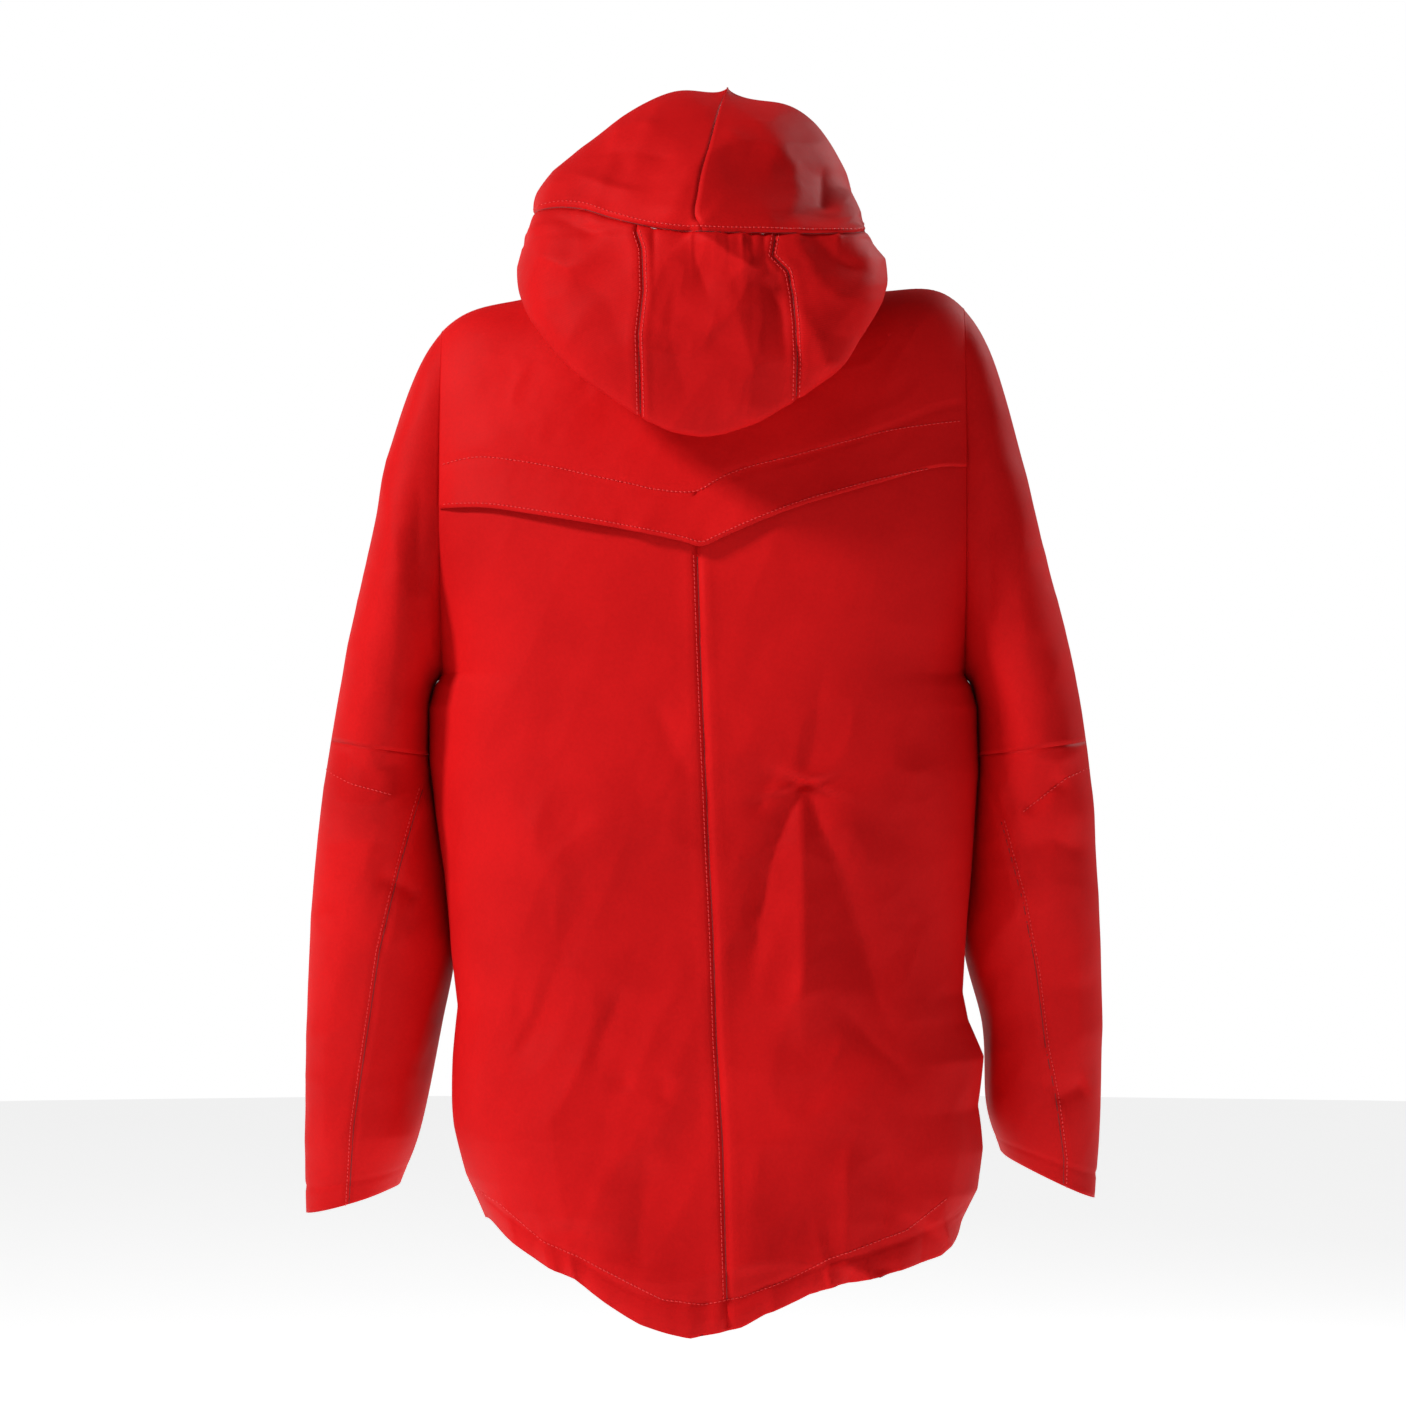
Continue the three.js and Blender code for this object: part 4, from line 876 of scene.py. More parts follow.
# Profiles from the neck seam over the hood to its top middle line, one for each place round the neck:
# 0 is the middle of the back and 1 the edge of the face opening. Each is a list of x, y, z.
HOOD_PROFILES = [
    [(0, 128, -62), (0, 152, -108), (0, 168, -62), (0, 166, 0), (0, 150, 52), (0, 95, 120), (0, 30, 158)],
    [(78, 94, -24), (92, 136, -60), (110, 144, -34), (116, 132, 16), (110, 112, 60), (68, 58, 124),
     (0, -10, 160)],
    [(103, 20, 28), (128, 34, 15), (140, 40, 22), (136, 36, 50), (122, 22, 84), (74, -18, 131),
     (0, -55, 157)],
    [(84, -54, 27), (106, -48, 36), (118, -44, 50), (118, -46, 68), (106, -56, 94), (64, -84, 131),
     (0, -104, 150)],
    [(40, -97, 15), (62, -107, 24), (80, -112, 40), (88, -116, 62), (82, -124, 90), (50, -139, 121),
     (0, -150, 135)],
]
HOOD_STOPS = [0, 0.14, 0.28, 0.42, 0.55, 0.7, 0.85, 1]
CHIN = -math.acos((14.5 / 77) ** 1.05)
LEAN = table_curve([[-200, 0], [0, 0], [38, 0], [50, 6], [65, 4], [81, 1], [100, -4], [123, -9], [142, -14],
                    [170, -22]])
BRIM_S = 0.87
HOOD_MIDDLE = np.array([0.0, 0.0, 30.0])


def seam_ring(t):
    """The neck seam, where collar and hood meet."""
    n = np.ones(np.shape(t))
    return ring_point(t, 77 * n, 34 * n, ZIP_TOP_Z * n, 8 * n, 64 * n, -8 * n, 2.1 * n)


def hood_lines():
    """The nine profiles from right to left, each with its foot on the neck seam."""
    rows = []
    for s, points in zip(np.linspace(0, 1, 5), HOOD_PROFILES):
        foot = seam_ring(np.array(PI / 2 - s * (PI / 2 - CHIN))) + [0, 0, 2.2]
        line = np.array([foot.tolist()] + [list(q) for q in points], float)
        rows.append((s, line))
        if s > 0:
            rows.insert(0, (-s, line * [-1, 1, 1]))
    return [s for s, _ in rows], [line for _, line in rows]


HOOD_S, HOOD_LINES = hood_lines()


HOOD_LEFT_WIDE = line_curve([(-200, 1), (0, 1), (22, 0.995), (37, 0.975), (52, 0.925), (67, 0.935), (82, 1.0),
                            (97, 1.06), (112, 1.06), (128, 1.03), (160, 1.0)])
HOOD_RIGHT_WIDE = line_curve([(-200, 1), (0, 1), (22, 0.965), (37, 0.915), (52, 0.92), (67, 0.905),
                              (82, 0.905),
                             (97, 0.94), (112, 0.965), (128, 0.99), (160, 1.0)])


def hood_plain(s, r):
    """Cubic along each profile by r, then across the profiles by s, with the crown's lean."""
    s, r = np.broadcast_arrays(np.asarray(s, float), np.asarray(r, float))
    p = hermite(HOOD_S, np.stack([hermite(HOOD_STOPS, line, r) for line in HOOD_LINES]), s)
    p[..., 0] += LEAN(p[..., 2])[..., 0] * (1 - 0.5 * ease(-p[..., 1] / 150))
    x, z = p[..., 0], p[..., 2]
    full = 10 * np.exp(-((np.abs(x + 12) - 55) / 30) ** 2) * ease((z - 70) / 50)
    full += 9 * np.exp(-((x - 14) / 24) ** 2) * ease((z - 110) / 35)
    wide = np.where(x > 0, HOOD_LEFT_WIDE(z), HOOD_RIGHT_WIDE(z))
    return np.stack([x * wide, p[..., 1], z + full], -1)


HOOD_SEAM = table_curve([[-0.87, 0.48], [-0.5, 0.545], [-0.3, 0.625], [-0.12, 0.655], [0, 0.662],
                         [0.06, 0.668],
                         [0.12, 0.685], [0.2, 0.705], [0.3, 0.695], [0.5, 0.62], [0.87, 0.48]])


def hood_seam(s):
    """Height of the seam between crown and lower hood."""
    return HOOD_SEAM(s)[..., 0]


HOOD_LEFT_SEAM = [(47, 52), (48, 39), (44, 26), (43, -4.5), (46.5, -36), (45, -100)]
HOOD_RIGHT_SEAM = [(-54.8, 50), (-52.5, 37), (-50, 22), (-61.5, 10.5), (-65, -7), (-67, -29), (-68, -53),
                   (-67, -95)]
HOOD_CREASES = [
    ([(9, 44), (-2, 34.5), (-19.5, 22), (-44, 8)], 3.6, 11, 9, (0.1, 0.25)),
    ([(-44, 8), (-58, -20), (-60, -60)], -2.4, 12, 9, (0.2, 0.4)),
    ([(8, 46), (6, 20), (-8, -20)], -2.2, 12, 14, (0.1, 0.4)),
    ([(-94, 104), (-92, 57)], -2.4, 9, 7, (0.3, 0.2)),
    ([(-70, 46), (-100, 20), (-128, 6)], -2.2, 9, 9, (0.2, 0.3)),
    ([(-62, -8), (-84, -40), (-92, -66)], 2.2, 9, 12, (0.3, 0.2)),
    ([(-66, 40), (-80, 8), (-110, -20)], 2.0, 10, 12, (0.2, 0.3)),
    ([(104, 92), (66, 74), (36, 66)], 2.0, 10, 10, (0.3, 0.3)),
    ([(92, 104), (50, 104), (14, 92)], -1.8, 14, 14, (0.3, 0.3)),
    ([(120, 60), (84, 40), (52, 44)], -2.4, 9, 9, (0.3, 0.3)),
    ([(128, 30), (96, 14), (70, 20)], 2.4, 11, 10, (0.3, 0.3)),
    ([(100, 10), (70, -10), (56, -50)], -1.6, 12, 12, (0.3, 0.3)),
    ([(20, 10), (24, -40), (10, -90)], -1.4, 16, 16, (0.3, 0.2)),
    ([(-20, 0), (-36, -60), (-30, -104)], 1.8, 14, 14, (0.3, 0.2)),
    ([(-10, 150), (-50, 120), (-84, 80)], 1.4, 18, 18, (0.3, 0.3)),
]
HOOD_FOLDS = draw_folds(30, (-120, 120), (-100, 130), 0.4, 1.2, (8, 30), (0.3, 1.1), (5, 11))
SEAM_PUCKERS = [(x, rng.uniform(-1, 1), rng.uniform(1.8, 3.4), rng.uniform(10, 24))
                for x in np.concatenate([rng.uniform(-58, -6, 9), rng.uniform(34, 92, 8),
                                         rng.uniform(-110, 110, 14)])]


def hood_shape(s, r):
    """The hood with its ridge, seams, puckers and folds, moved straight out from the middle of the head."""
    p = hood_plain(s, r)
    s, r = np.broadcast_arrays(np.asarray(s, float), np.asarray(r, float))
    out = p - HOOD_MIDDLE
    out[..., 0] *= 0.8
    out /= np.linalg.norm(out, axis=-1, keepdims=True)
    x, z = p[..., 0], p[..., 2]
    back = ease((p[..., 1] - 10) / 60) * ease(r / 0.12)
    over = r - hood_seam(s)
    fold = (1.5 * crumple(x, z, HOOD_FOLDS) + 0.8 * facets(x, z, 51, 1.0)) * back
    for line, height, wide, other, fade in HOOD_CREASES:
        fold += DRAWN_ON_HOOD * back * crease(x, z, line, height, wide, other, fade)
    for line in (HOOD_LEFT_SEAM, HOOD_RIGHT_SEAM):
        d, _ = along_line(x, z, line)
        fold += back * ease(-over / 0.01) * (-1.0 * np.exp(-(d / 1.5) ** 2)
                                             + 0.8 * np.exp(-((np.abs(d) - 5) / 3) ** 2))
    for cx, height, wide, reach in SEAM_PUCKERS:
        fall = np.maximum(-over, 0) * 300
        beside_it, below_it = np.exp(-np.abs(x - cx) / wide), np.exp(-(fall / reach))
        fold += back * 2.0 * height * beside_it * below_it * ease(-over / 0.004 + 1)
    above_seam = np.exp(-np.maximum(over, 0) / 0.05)
    fold += -1.5 * np.exp(-(over / 0.0055) ** 2) + 1.5 * above_seam * ease(over / 0.01)
    crown = ease(over / 0.05) * (1 - ease((r - 0.8) / 0.18))
    ridge = np.exp(-np.sqrt(s ** 2 + 0.0002) / 0.11) * (1 - ease((r - 0.72) / 0.16))
    fold += crown * (9.0 * ridge - 8.0 * np.exp(-((s + 0.22) / 0.12) ** 2)
                     - 2.0 * np.exp(-((s - 0.2) / 0.1) ** 2))
    near_brim = np.exp(-((np.abs(s) - BRIM_S) / 0.012) ** 2)
    fold += -0.9 * near_brim
    return p + out * fold[..., None]


def offset_grid(p, depth, inside=None):
    """A grid moved along its own normals, away from inside or from each ring's middle."""
    du = np.gradient(p, axis=1)
    dv = np.gradient(p, axis=0)
    n = np.cross(du, dv)
    n /= np.maximum(np.linalg.norm(n, axis=-1, keepdims=True), 1e-9)
    away = p - (p.mean(1, keepdims=True) if inside is None else np.asarray(inside, float))
    if (n * away).sum() < 0:
        n = -n
    return p + n * np.asarray(depth)[..., None]


HEAD = (0, 0, 30)


def side_seam(side, part):
    """Place round the neck, for each height, that puts the lower hood's edge on the drawn upright seam."""
    line = HOOD_LEFT_SEAM if side > 0 else HOOD_RIGHT_SEAM
    at_z = line_curve([(z, side * x) for x, z in line])

    def over(s):
        """Whether a point lies outside the drawn seam."""
        p = hood_plain(side * s, part * hood_seam(side * s))
        return side * p[..., 0] > at_z(p[..., 2])
    return side * solve(0 * part + 0.005, 0 * part + 0.5, over)


for side, word in [(1, "left"), (-1, "right")]:
    ss, part = np.meshgrid(np.linspace(0, BRIM_S, 90), np.linspace(0, 1, 90) ** 1.3, indexing="xy")
    cloth(f"hood_crown_cloth_{word}", hood_shape(side * ss, mix(hood_seam(side * ss), 1, part)),
          [f"hood_crown_{word}"],
          SHELL, BACKER, inside=HEAD)
    near, part = np.meshgrid(np.linspace(0, 1, 90), np.linspace(0, 1, 120), indexing="xy")
    ss = mix(side_seam(side, part[:, :1]), side * BRIM_S, near)
    cloth(f"hood_side_cloth_{word}", hood_shape(ss, part * hood_seam(ss)), [f"hood_side_{word}"],
          SHELL, BACKER, inside=HEAD)
near, part = np.meshgrid(np.linspace(0, 1, 80), np.linspace(0, 1, 150), indexing="xy")
ss = mix(side_seam(-1, part[:, :1]), side_seam(1, part[:, :1]), near)
cloth("hood_back_cloth", hood_shape(ss, part * hood_seam(ss)), ["hood_centre_back"], SHELL, BACKER,
      inside=HEAD)


def brim_grid(s_rows, start, count):
    """Rows round the face opening from one side of the chin over the head to the other."""
    turn_ = np.linspace(start, 2 - start, count)
    ss_, tt = np.meshgrid(s_rows, turn_, indexing="ij")
    return np.where(tt <= 1, 1, -1) * ss_, np.where(tt <= 1, tt, 2 - tt)


s_, r_ = brim_grid(np.linspace(BRIM_S, 1, 26), 0.0, 200)
brim = hood_shape(s_, r_)
cloth("hood_brim_cloth", brim, ["hood_brim"], SHELL, BACKER, inside=HEAD)
s_, r_ = brim_grid(np.linspace(0.925, 0.998, 24), 0.3, 150)
face_in = hood_shape(s_, r_)
row = np.linspace(0, 1, 24)[:, None]
depth = -1.2 - 6.4 * ease(row / 0.2) * ease((1 - row) / 0.12)
cloth("hood_facing_cloth", offset_grid(face_in, depth * np.ones((1, 150)), HEAD), ["hood_facing"], LINER,
      LINER,
      inside=HEAD, thick=0.5)

# ------------------------------------------------------------------ collar, facings, pockets' bags


def collar_grid():
    """Straight rise from the neck edge of the body to the hood's foot, with a soft roll in the middle."""
    w = np.linspace(0, 1, 16)[:, None]
    t1 = -math.acos((11 / 78) ** 1.05)
    t = mix(t1, PI - t1, np.linspace(0, 1, 150))[None, :]
    low = body_plain(t, np.ones_like(t))
    high = seam_ring(t) + [0, 0, 2.2]
    p = mix(low, high, w[..., None])
    return offset_grid(p, 0.8 * np.sin(w * PI) * np.ones_like(t), (0, 0, 5))


cloth("collar_cloth", collar_grid(), ["collar"], SHELL, LINER, inside=(0, 0, 5), thick=1.2)

h_ = np.concatenate([[0.0005, 0.0015], np.linspace(0.003, 0.033, 14), [0.036]])
hh = np.repeat(h_[:, None], 260, 1)
reach_ = angle_at_x(hh, 116)
tt_ = mix(-reach_, PI + reach_, np.linspace(0, 1, 260)[None, :])
hem_in = body_shape(tt_, hh, 1)
depth = np.full(hh.shape, -6.0)
depth[0], depth[1], depth[-1] = -1.0, -4.5, -2.0
cloth("hem_facing_cloth", offset_grid(hem_in, depth, (0, 0, -700)), ["hem_facing"], LINER, LINER,
      inside=(0, 0, -700), thick=0.5)

for side, word in [(1, "left"), (-1, "right")]:
    hh, uu = np.meshgrid(np.linspace(0.13, 0.47, 50), np.linspace(0, 1, 50), indexing="ij")
    tt_ = -mix(angle_at_x(hh, 166), angle_at_x(hh, 44), uu)
    bag = body_plain(tt_, hh)
    bag[..., 0] *= side
    slack = 1.4 * np.sin(uu * PI * 3 + hh * 20) * np.sin(uu * PI)
    cloth(f"pocket_bag_cloth_{word}", offset_grid(bag, -8.6 + slack, (0, 0, -450)), [f"pocket_bag_{word}"],
          LINER,
          LINER, inside=(0, 0, -450), thick=0.8)

    vv, aa = np.meshgrid(np.concatenate([[0.9655], np.linspace(0.968, 0.996, 10), [0.9985]]), ring,
                         indexing="ij")
    cuff = sleeve_shape(aa, vv, side)
    depth = np.full(vv.shape, -2.6)
    depth[0], depth[-1] = -1.2, -1.0
    cloth(f"cuff_facing_cloth_{word}", offset_grid(cuff, depth), [f"cuff_facing_{word}"], LINER, LINER,
          wrap=True, thick=0.5, body=f"{word}_forearm")

# ------------------------------------------------------------------ cuff tabs and their patches

TAB_V, TAB_HALF_V = 0.925, 0.026
TAB_FROM, TAB_TO = PI * 1.30, PI * 1.62


def on_cuff(side, a0, a1, half, rows, cols, lift, end_round):
    """A strip on the front of the cuff; its corners are rounded by narrowing both ends on a circle."""
    u = np.linspace(0, 1, cols)
    w = np.linspace(-1, 1, rows)
    narrow = 1 - 0.75 * (np.maximum(np.abs(2 * u - 1) - (1 - end_round), 0) / end_round) ** 2
    vv_ = TAB_V + half * w[:, None] * narrow[None, :]
    aa_ = np.broadcast_to(mix(a0, a1, u), vv_.shape)
    p = sleeve_shape(aa_, vv_, side)
    middle = sleeve_shape(np.linspace(0, 2 * PI, 40), np.full(40, TAB_V), side).mean(0)
    return offset_grid(p, lift, middle), middle


for side, word in [(1, "left"), (-1, "right")]:
    rows_, cols_ = 17, 60
    patch, middle = on_cuff(side, TAB_FROM + 0.1, TAB_TO, TAB_HALF_V * 0.8, rows_, cols_,
                            np.full((rows_, cols_), 1.4), 0.08)
    cloth(f"cuff_loop_patch_{word}", patch, [f"cuff_patch_{word}"], HOOKS, HOOKS, inside=middle,
          thick=0.8, body=f"{word}_forearm")
    u_ = np.linspace(0, 1, cols_)[None, :]
    w_ = np.linspace(-1, 1, rows_)[:, None]
    rib_ends, rib_sides = ease((0.36 - np.abs(u_ - 0.76)) / 0.05), ease((0.7 - np.abs(w_)) / 0.2)
    ribs = 0.35 * np.maximum(np.cos(u_ * 2 * PI * 16), 0) * rib_ends * rib_sides
    crown = 0.5 * (1 - w_ ** 4)
    tab, middle = on_cuff(side, TAB_FROM, TAB_TO - 0.15, TAB_HALF_V, rows_, cols_, 3.2 + ribs + crown, 0.1)
    tab_obj = cloth_grid(f"cuff_tab_moulded_{word}", tab, inside=middle)
    walls(tab_obj, RUBBER, RUBBER, 1.6)
    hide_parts(f"cuff_tab_{word}")
    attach(tab_obj, f"{word}_cuff_tab")

# ------------------------------------------------------------------ zips

ZIP_LEAN = math.atan(ZIP_SLOPE)


def zip_frame(p):
    """From the main zip's own frame (x across, y inwards, z up from its top) to the body's frame."""
    c, s = math.cos(ZIP_LEAN), math.sin(ZIP_LEAN)
    y, z = ZIP_TOP_Y + p[..., 1] * c + p[..., 2] * s, ZIP_TOP_Z - p[..., 1] * s + p[..., 2] * c
    return np.stack([p[..., 0], y, z], -1)


def boxes(centre, right, up, out, size):
    """One small block for each row of centres, with its own three directions and half sizes."""
    corner = np.array([[x, y, z] for x in (-1, 1) for y in (-1, 1) for z in (-1, 1)], float) * size
    p = (centre[:, None] + corner[:, 0, None] * right[:, None] + corner[:, 1, None] * up[:, None]
         + corner[:, 2, None] * out[:, None])
    quads = np.array([[0, 1, 3, 2], [4, 6, 7, 5], [0, 4, 5, 1], [2, 3, 7, 6], [0, 2, 6, 4], [1, 5, 7, 3]])
    hand = np.einsum("ij,ij->i", np.cross(right, up), out)[:, None, None]
    faces = quads[None] + 8 * np.arange(len(centre))[:, None, None]
    faces = np.where(hand > 0, faces, faces[..., ::-1])
    return p.reshape(-1, 3), faces.reshape(-1, 4)


def block_uv(faces, verts):
    """Cloth coordinates for loose blocks, taken from x and z."""
    q = np.asarray(verts).reshape(-1, 3)[faces]
    return np.stack([q[..., 0] + q[..., 1], q[..., 2]], -1)


def coil_zip(name, node, frame_of, half_in, half_out, tape_half, face_y, thick, length, pitch, side):
    """A zip half: a flat tape and a row of rounded coil turns standing along its inner edge."""
    z = np.linspace(0, -length, int(length / 4))
    x_in, x_out = sorted((side * half_in, side * tape_half)) if side else (-tape_half, tape_half)
    xs = np.linspace(x_in, x_out, 8)
    tape = np.stack(np.meshgrid(xs, z), -1)
    tape = np.stack([tape[..., 0], np.full(tape.shape[:2], face_y), tape[..., 1]], -1)
    obj = cloth_grid(name, frame_of(tape), inside=frame_of(np.array([0, face_y + 500.0, -length / 2])))
    walls(obj, TAPE, TAPE, thick)
    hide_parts(node)
    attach(obj, "shell")
    count = int((length - 3) / pitch)
    zc = -1.5 - pitch * (np.arange(count) + (0.5 if side < 0 else 0.0))
    reach = half_out - half_in
    mid = (side or 0) * (half_in + reach / 2)
    shape = np.array([[-1, -0.35], [-0.85, -0.8], [0.85, -0.8], [1, -0.35], [1, 0.35], [0.85, 0.8],
                      [-0.85, 0.8], [-1, 0.35]])
    ring_ = np.stack([mid + shape[:, 0] * reach / 2, shape[:, 1] * 0.9 + face_y + 0.1 * thick,
                      0 * shape[:, 0]], -1)
    verts = []
    for dz in (-0.40, 0.40):
        verts.append(ring_[None] + np.stack([0 * zc, 0 * zc, zc + dz * pitch], -1)[:, None])
    verts = np.concatenate(verts, 1)
    base = 16 * np.arange(count)[:, None, None]
    j = np.arange(8)
    band = np.stack([j, (j + 1) % 8, (j + 1) % 8 + 8, j + 8], -1)
    sides_ = (band[None] + base).reshape(-1, 4).tolist()
    caps = [(int(b) + np.arange(8)[::-1]).tolist() for b in 16 * np.arange(count)]
    caps += [(int(b) + 8 + np.arange(8)).tolist() for b in 16 * np.arange(count)]
    q = place(frame_of(verts.reshape(-1, 3)))
    mesh = bpy.data.meshes.new(name + "_coil")
    mesh.from_pydata(q.tolist(), [], sides_ + caps)
    mesh.validate()
    coil = bpy.data.objects.new(name + "_coil", mesh)
    bpy.context.scene.collection.objects.link(coil)
    outward_if_needed(coil)
    coil.data.materials.append(TEETH)
    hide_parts(node)
    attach(coil, "shell")


def outward_if_needed(obj):
    """Turns a mesh of closed blocks the right way round if its enclosed volume comes out negative."""
    mesh = obj.data
    mesh.calc_loop_triangles()
    v = np.empty(len(mesh.vertices) * 3)
    mesh.vertices.foreach_get("co", v)
    v = v.reshape(-1, 3)
    tri = np.empty(len(mesh.loop_triangles) * 3, np.int32)
    mesh.loop_triangles.foreach_get("vertices", tri)
    a, b, c = (v[tri.reshape(-1, 3)[:, k]] for k in range(3))
    if np.einsum("ij,ij->i", a, np.cross(b, c)).sum() < 0:
        mesh.flip_normals()


for side, word in [(1, "left"), (-1, "right")]:
    coil_zip(f"main_zip_tape_{word}", f"zip_tape_{word}", zip_frame, 0.5, 3.2, 14, -0.5, 1.0, ZIP_LENGTH,
             2.0, side)

flap = np.stack(np.meshgrid(np.linspace(-18, 26, 20), np.linspace(-3, -ZIP_LENGTH + 18, 160)), -1)
flap = np.stack([flap[..., 0], 7.6 + 0.35 * np.sin(flap[..., 1] / 23) + 0.3 * np.sin(flap[..., 0] / 8),
                 flap[..., 1]], -1)
cloth("storm_flap_cloth", zip_frame(flap), ["storm_flap"], LINER, LINER,
      inside=(0, 300, -300), thick=0.9)


def pocket_frame(side):
    """The pocket zip's own frame: origin at its top, z up along it, y into the body."""
    def at(h, x):
        """The front's point at one height and distance from the middle."""
        h = np.array(h)
        return body_plain(-angle_at_x(h, x), h)
    top, low = at(0.44, 108), at(0.215, 140)
    mid, beside = at(0.33, 124), at(0.33, 125)
    up = (top - low) / np.linalg.norm(top - low)
    out = np.cross(beside - mid, up)
    out /= np.linalg.norm(out)
    if out[1] > 0:
        out = -out
    flipx = np.array([side, 1, 1])
    top, low, up, out = top * flipx, low * flipx, up * flipx, out * flipx
    top, low = top + 1.5 * out, low + 1.5 * out
    across = np.cross(-out, up)
    length = float(np.linalg.norm(top - low))
    return (lambda p: top + p[..., 0:1] * across + p[..., 1:2] * -out + p[..., 2:3] * up), length


for side, word in [(1, "left"), (-1, "right")]:
    frame_of, pocket_length = pocket_frame(side)
    coil_zip(f"pocket_zip_tape_{word}", f"pocket_zip_{word}", frame_of, -1.4, 1.4, 7, -1.2, 1.1,
             pocket_length, 1.8, 0)

# ------------------------------------------------------------------ loop and drawcords


def swept(name, path, outline, material, node, side_dir=(0, 1, 0)):
    """A closed outline carried along a path; its first axis follows side_dir."""
    path = np.asarray(path, float)
    tangent = np.gradient(path, axis=0)
    tangent /= np.linalg.norm(tangent, axis=1, keepdims=True)
    if side_dir is None:
        ref = np.where(np.abs(tangent[:, 2:3]) < 0.8, [[0, 0, 1.0]], [[1.0, 0, 0]])
        a = np.cross(ref, tangent)
        for i in range(1, len(a)):
            carried = a[i - 1] - tangent[i] * (a[i - 1] @ tangent[i])
            a[i] = carried
            a[i] /= np.linalg.norm(a[i])
        a /= np.linalg.norm(a, axis=1, keepdims=True)
    else:
        a = np.tile(np.asarray(side_dir, float), (len(path), 1))
    b = np.cross(tangent, a)
    p = path[:, None] + outline[None, :, 0:1] * a[:, None] + outline[None, :, 1:2] * b[:, None]
    rows_, cols_ = p.shape[:2]
    q = place(p)
    faces = grid_faces(rows_, cols_, True).tolist()
    uv = grid_uv(q, True).reshape(-1, 2).tolist()
    for k, order in ((0, range(cols_)), (rows_ - 1, range(cols_ - 1, -1, -1))):
        cap = [k * cols_ + i for i in order]
        faces.append(cap)
        uv += [(0.0, 0.0)] * cols_
    mesh = bpy.data.meshes.new(name)
    mesh.from_pydata(q.reshape(-1, 3).tolist(), [], faces)
    layer = mesh.uv_layers.new(name="cloth")
    layer.data.foreach_set("uv", np.array(uv, np.float32).ravel())
    mesh.polygons.foreach_set("use_smooth", np.ones(len(mesh.polygons), bool))
    obj = bpy.data.objects.new(name, mesh)
    bpy.context.scene.collection.objects.link(obj)
    outward_if_needed(obj)
    mesh.materials.append(material)
    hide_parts(node)
    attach(obj, "shell")
    return obj


def loop_part(x, z):
    """One stretch of the hanger loop's path, in the plane of the loop."""
    x, z = np.broadcast_arrays(np.asarray(x, float), np.asarray(z, float))
    return np.stack([x, np.full(x.shape, HANG_Y), z], -1)


LOOP_HALF, LOOP_TOP, LOOP_FOOT = 22.8, 0.8, -15
corner = np.linspace(0, PI / 2, 9)
bend = 2.4
loop_path = np.concatenate([
    loop_part(-LOOP_HALF, np.linspace(LOOP_FOOT, LOOP_TOP - bend, 6)),
    loop_part(-LOOP_HALF + bend - bend * np.cos(corner), LOOP_TOP - bend + bend * np.sin(corner))[1:],
    loop_part(np.linspace(-LOOP_HALF + bend, LOOP_HALF - bend, 14), LOOP_TOP)[1:],
    loop_part(LOOP_HALF - bend + bend * np.sin(corner), LOOP_TOP - bend + bend * np.cos(corner))[1:],
    loop_part(LOOP_HALF, np.linspace(LOOP_TOP - bend, LOOP_FOOT, 6))[1:],
])
strap = np.array([[-4, -0.4], [-3.8, -0.75], [3.8, -0.75], [4, -0.4], [4, 0.4], [3.8, 0.75], [-3.8, 0.75],
                  [-4, 0.4]])
swept("hanger_loop_webbing", loop_path, strap, STRAP, "hanger_loop")


def through(points, count):
    """A smooth line through points, evenly spread by distance."""
    points = np.asarray(points, float)
    step = np.concatenate([[0], np.cumsum(np.sqrt(np.linalg.norm(np.diff(points, axis=0), axis=1)))])
    return hermite(step, points, np.linspace(0, step[-1], count))


CORD_R = 1.1
round_turn = np.linspace(0, 2 * PI, 11)[:-1]
round_cord = np.stack([CORD_R * np.cos(round_turn), CORD_R * np.sin(round_turn)], -1)
CORD_H, LOCK_X = 0.016, 44.0
lock_at = body_plain(-angle_at_x(np.array(CORD_H), LOCK_X), np.array(CORD_H))
lock_y, lock_z = lock_at[1] + 10.5, lock_at[2]
t1 = float(angle_at_x(np.array(CORD_H), 80))
tt_ = np.linspace(-t1, PI + t1, 90)
three = body_shape(tt_[None, :] * np.ones((3, 1)), np.array([[CORD_H - 0.001], [CORD_H], [CORD_H + 0.001]])
                   * np.ones_like(tt_), 1)
count_ = np.arange(90)
near_end = 0.9 * (1 - ease(np.minimum(count_, 89 - count_) / 7.5))
tunnel = offset_grid(three, np.broadcast_to(-3.6 - near_end, (3, 90)), (0, 0, -700))[1]
ends = np.array([[x, lock_y, lock_z] for x in (LOCK_X - 12, LOCK_X - 4, LOCK_X + 8)])
hem_route = np.concatenate([ends, tunnel, ends[::-1] * [-1, 1, 1]])
swept("hem_drawcord_braid", through(hem_route, 420), round_cord, BRAID, "hem_drawcord", None)

turn_ = np.linspace(0.26, 1.74, 60)
s3 = np.array([0.958, 0.962, 0.966])[:, None] * np.where(turn_ <= 1, 1, -1)
r3 = np.broadcast_to(np.where(turn_ <= 1, turn_, 2 - turn_), s3.shape)
face_route = offset_grid(hood_plain(s3, r3), np.full(s3.shape, -4.9), HEAD)[1]
lx, ly, lz = 33.0, -66.0, -10.0
ends = np.array([[lx, ly, lz - 13], [lx, ly, lz - 6], [lx, ly, lz + 8], [lx, ly, lz + 30],
                 [lx + 4, ly - 4, lz + 43],
                 [lx + 14, ly - 18, lz + 44]])
hood_route = np.concatenate([ends, face_route, ends[::-1] * [-1, 1, 1]])
swept("hood_cord_braid", through(hood_route, 320), round_cord, BRAID, "hood_cord", None)

# ------------------------------------------------------------------ stitches and seam lines


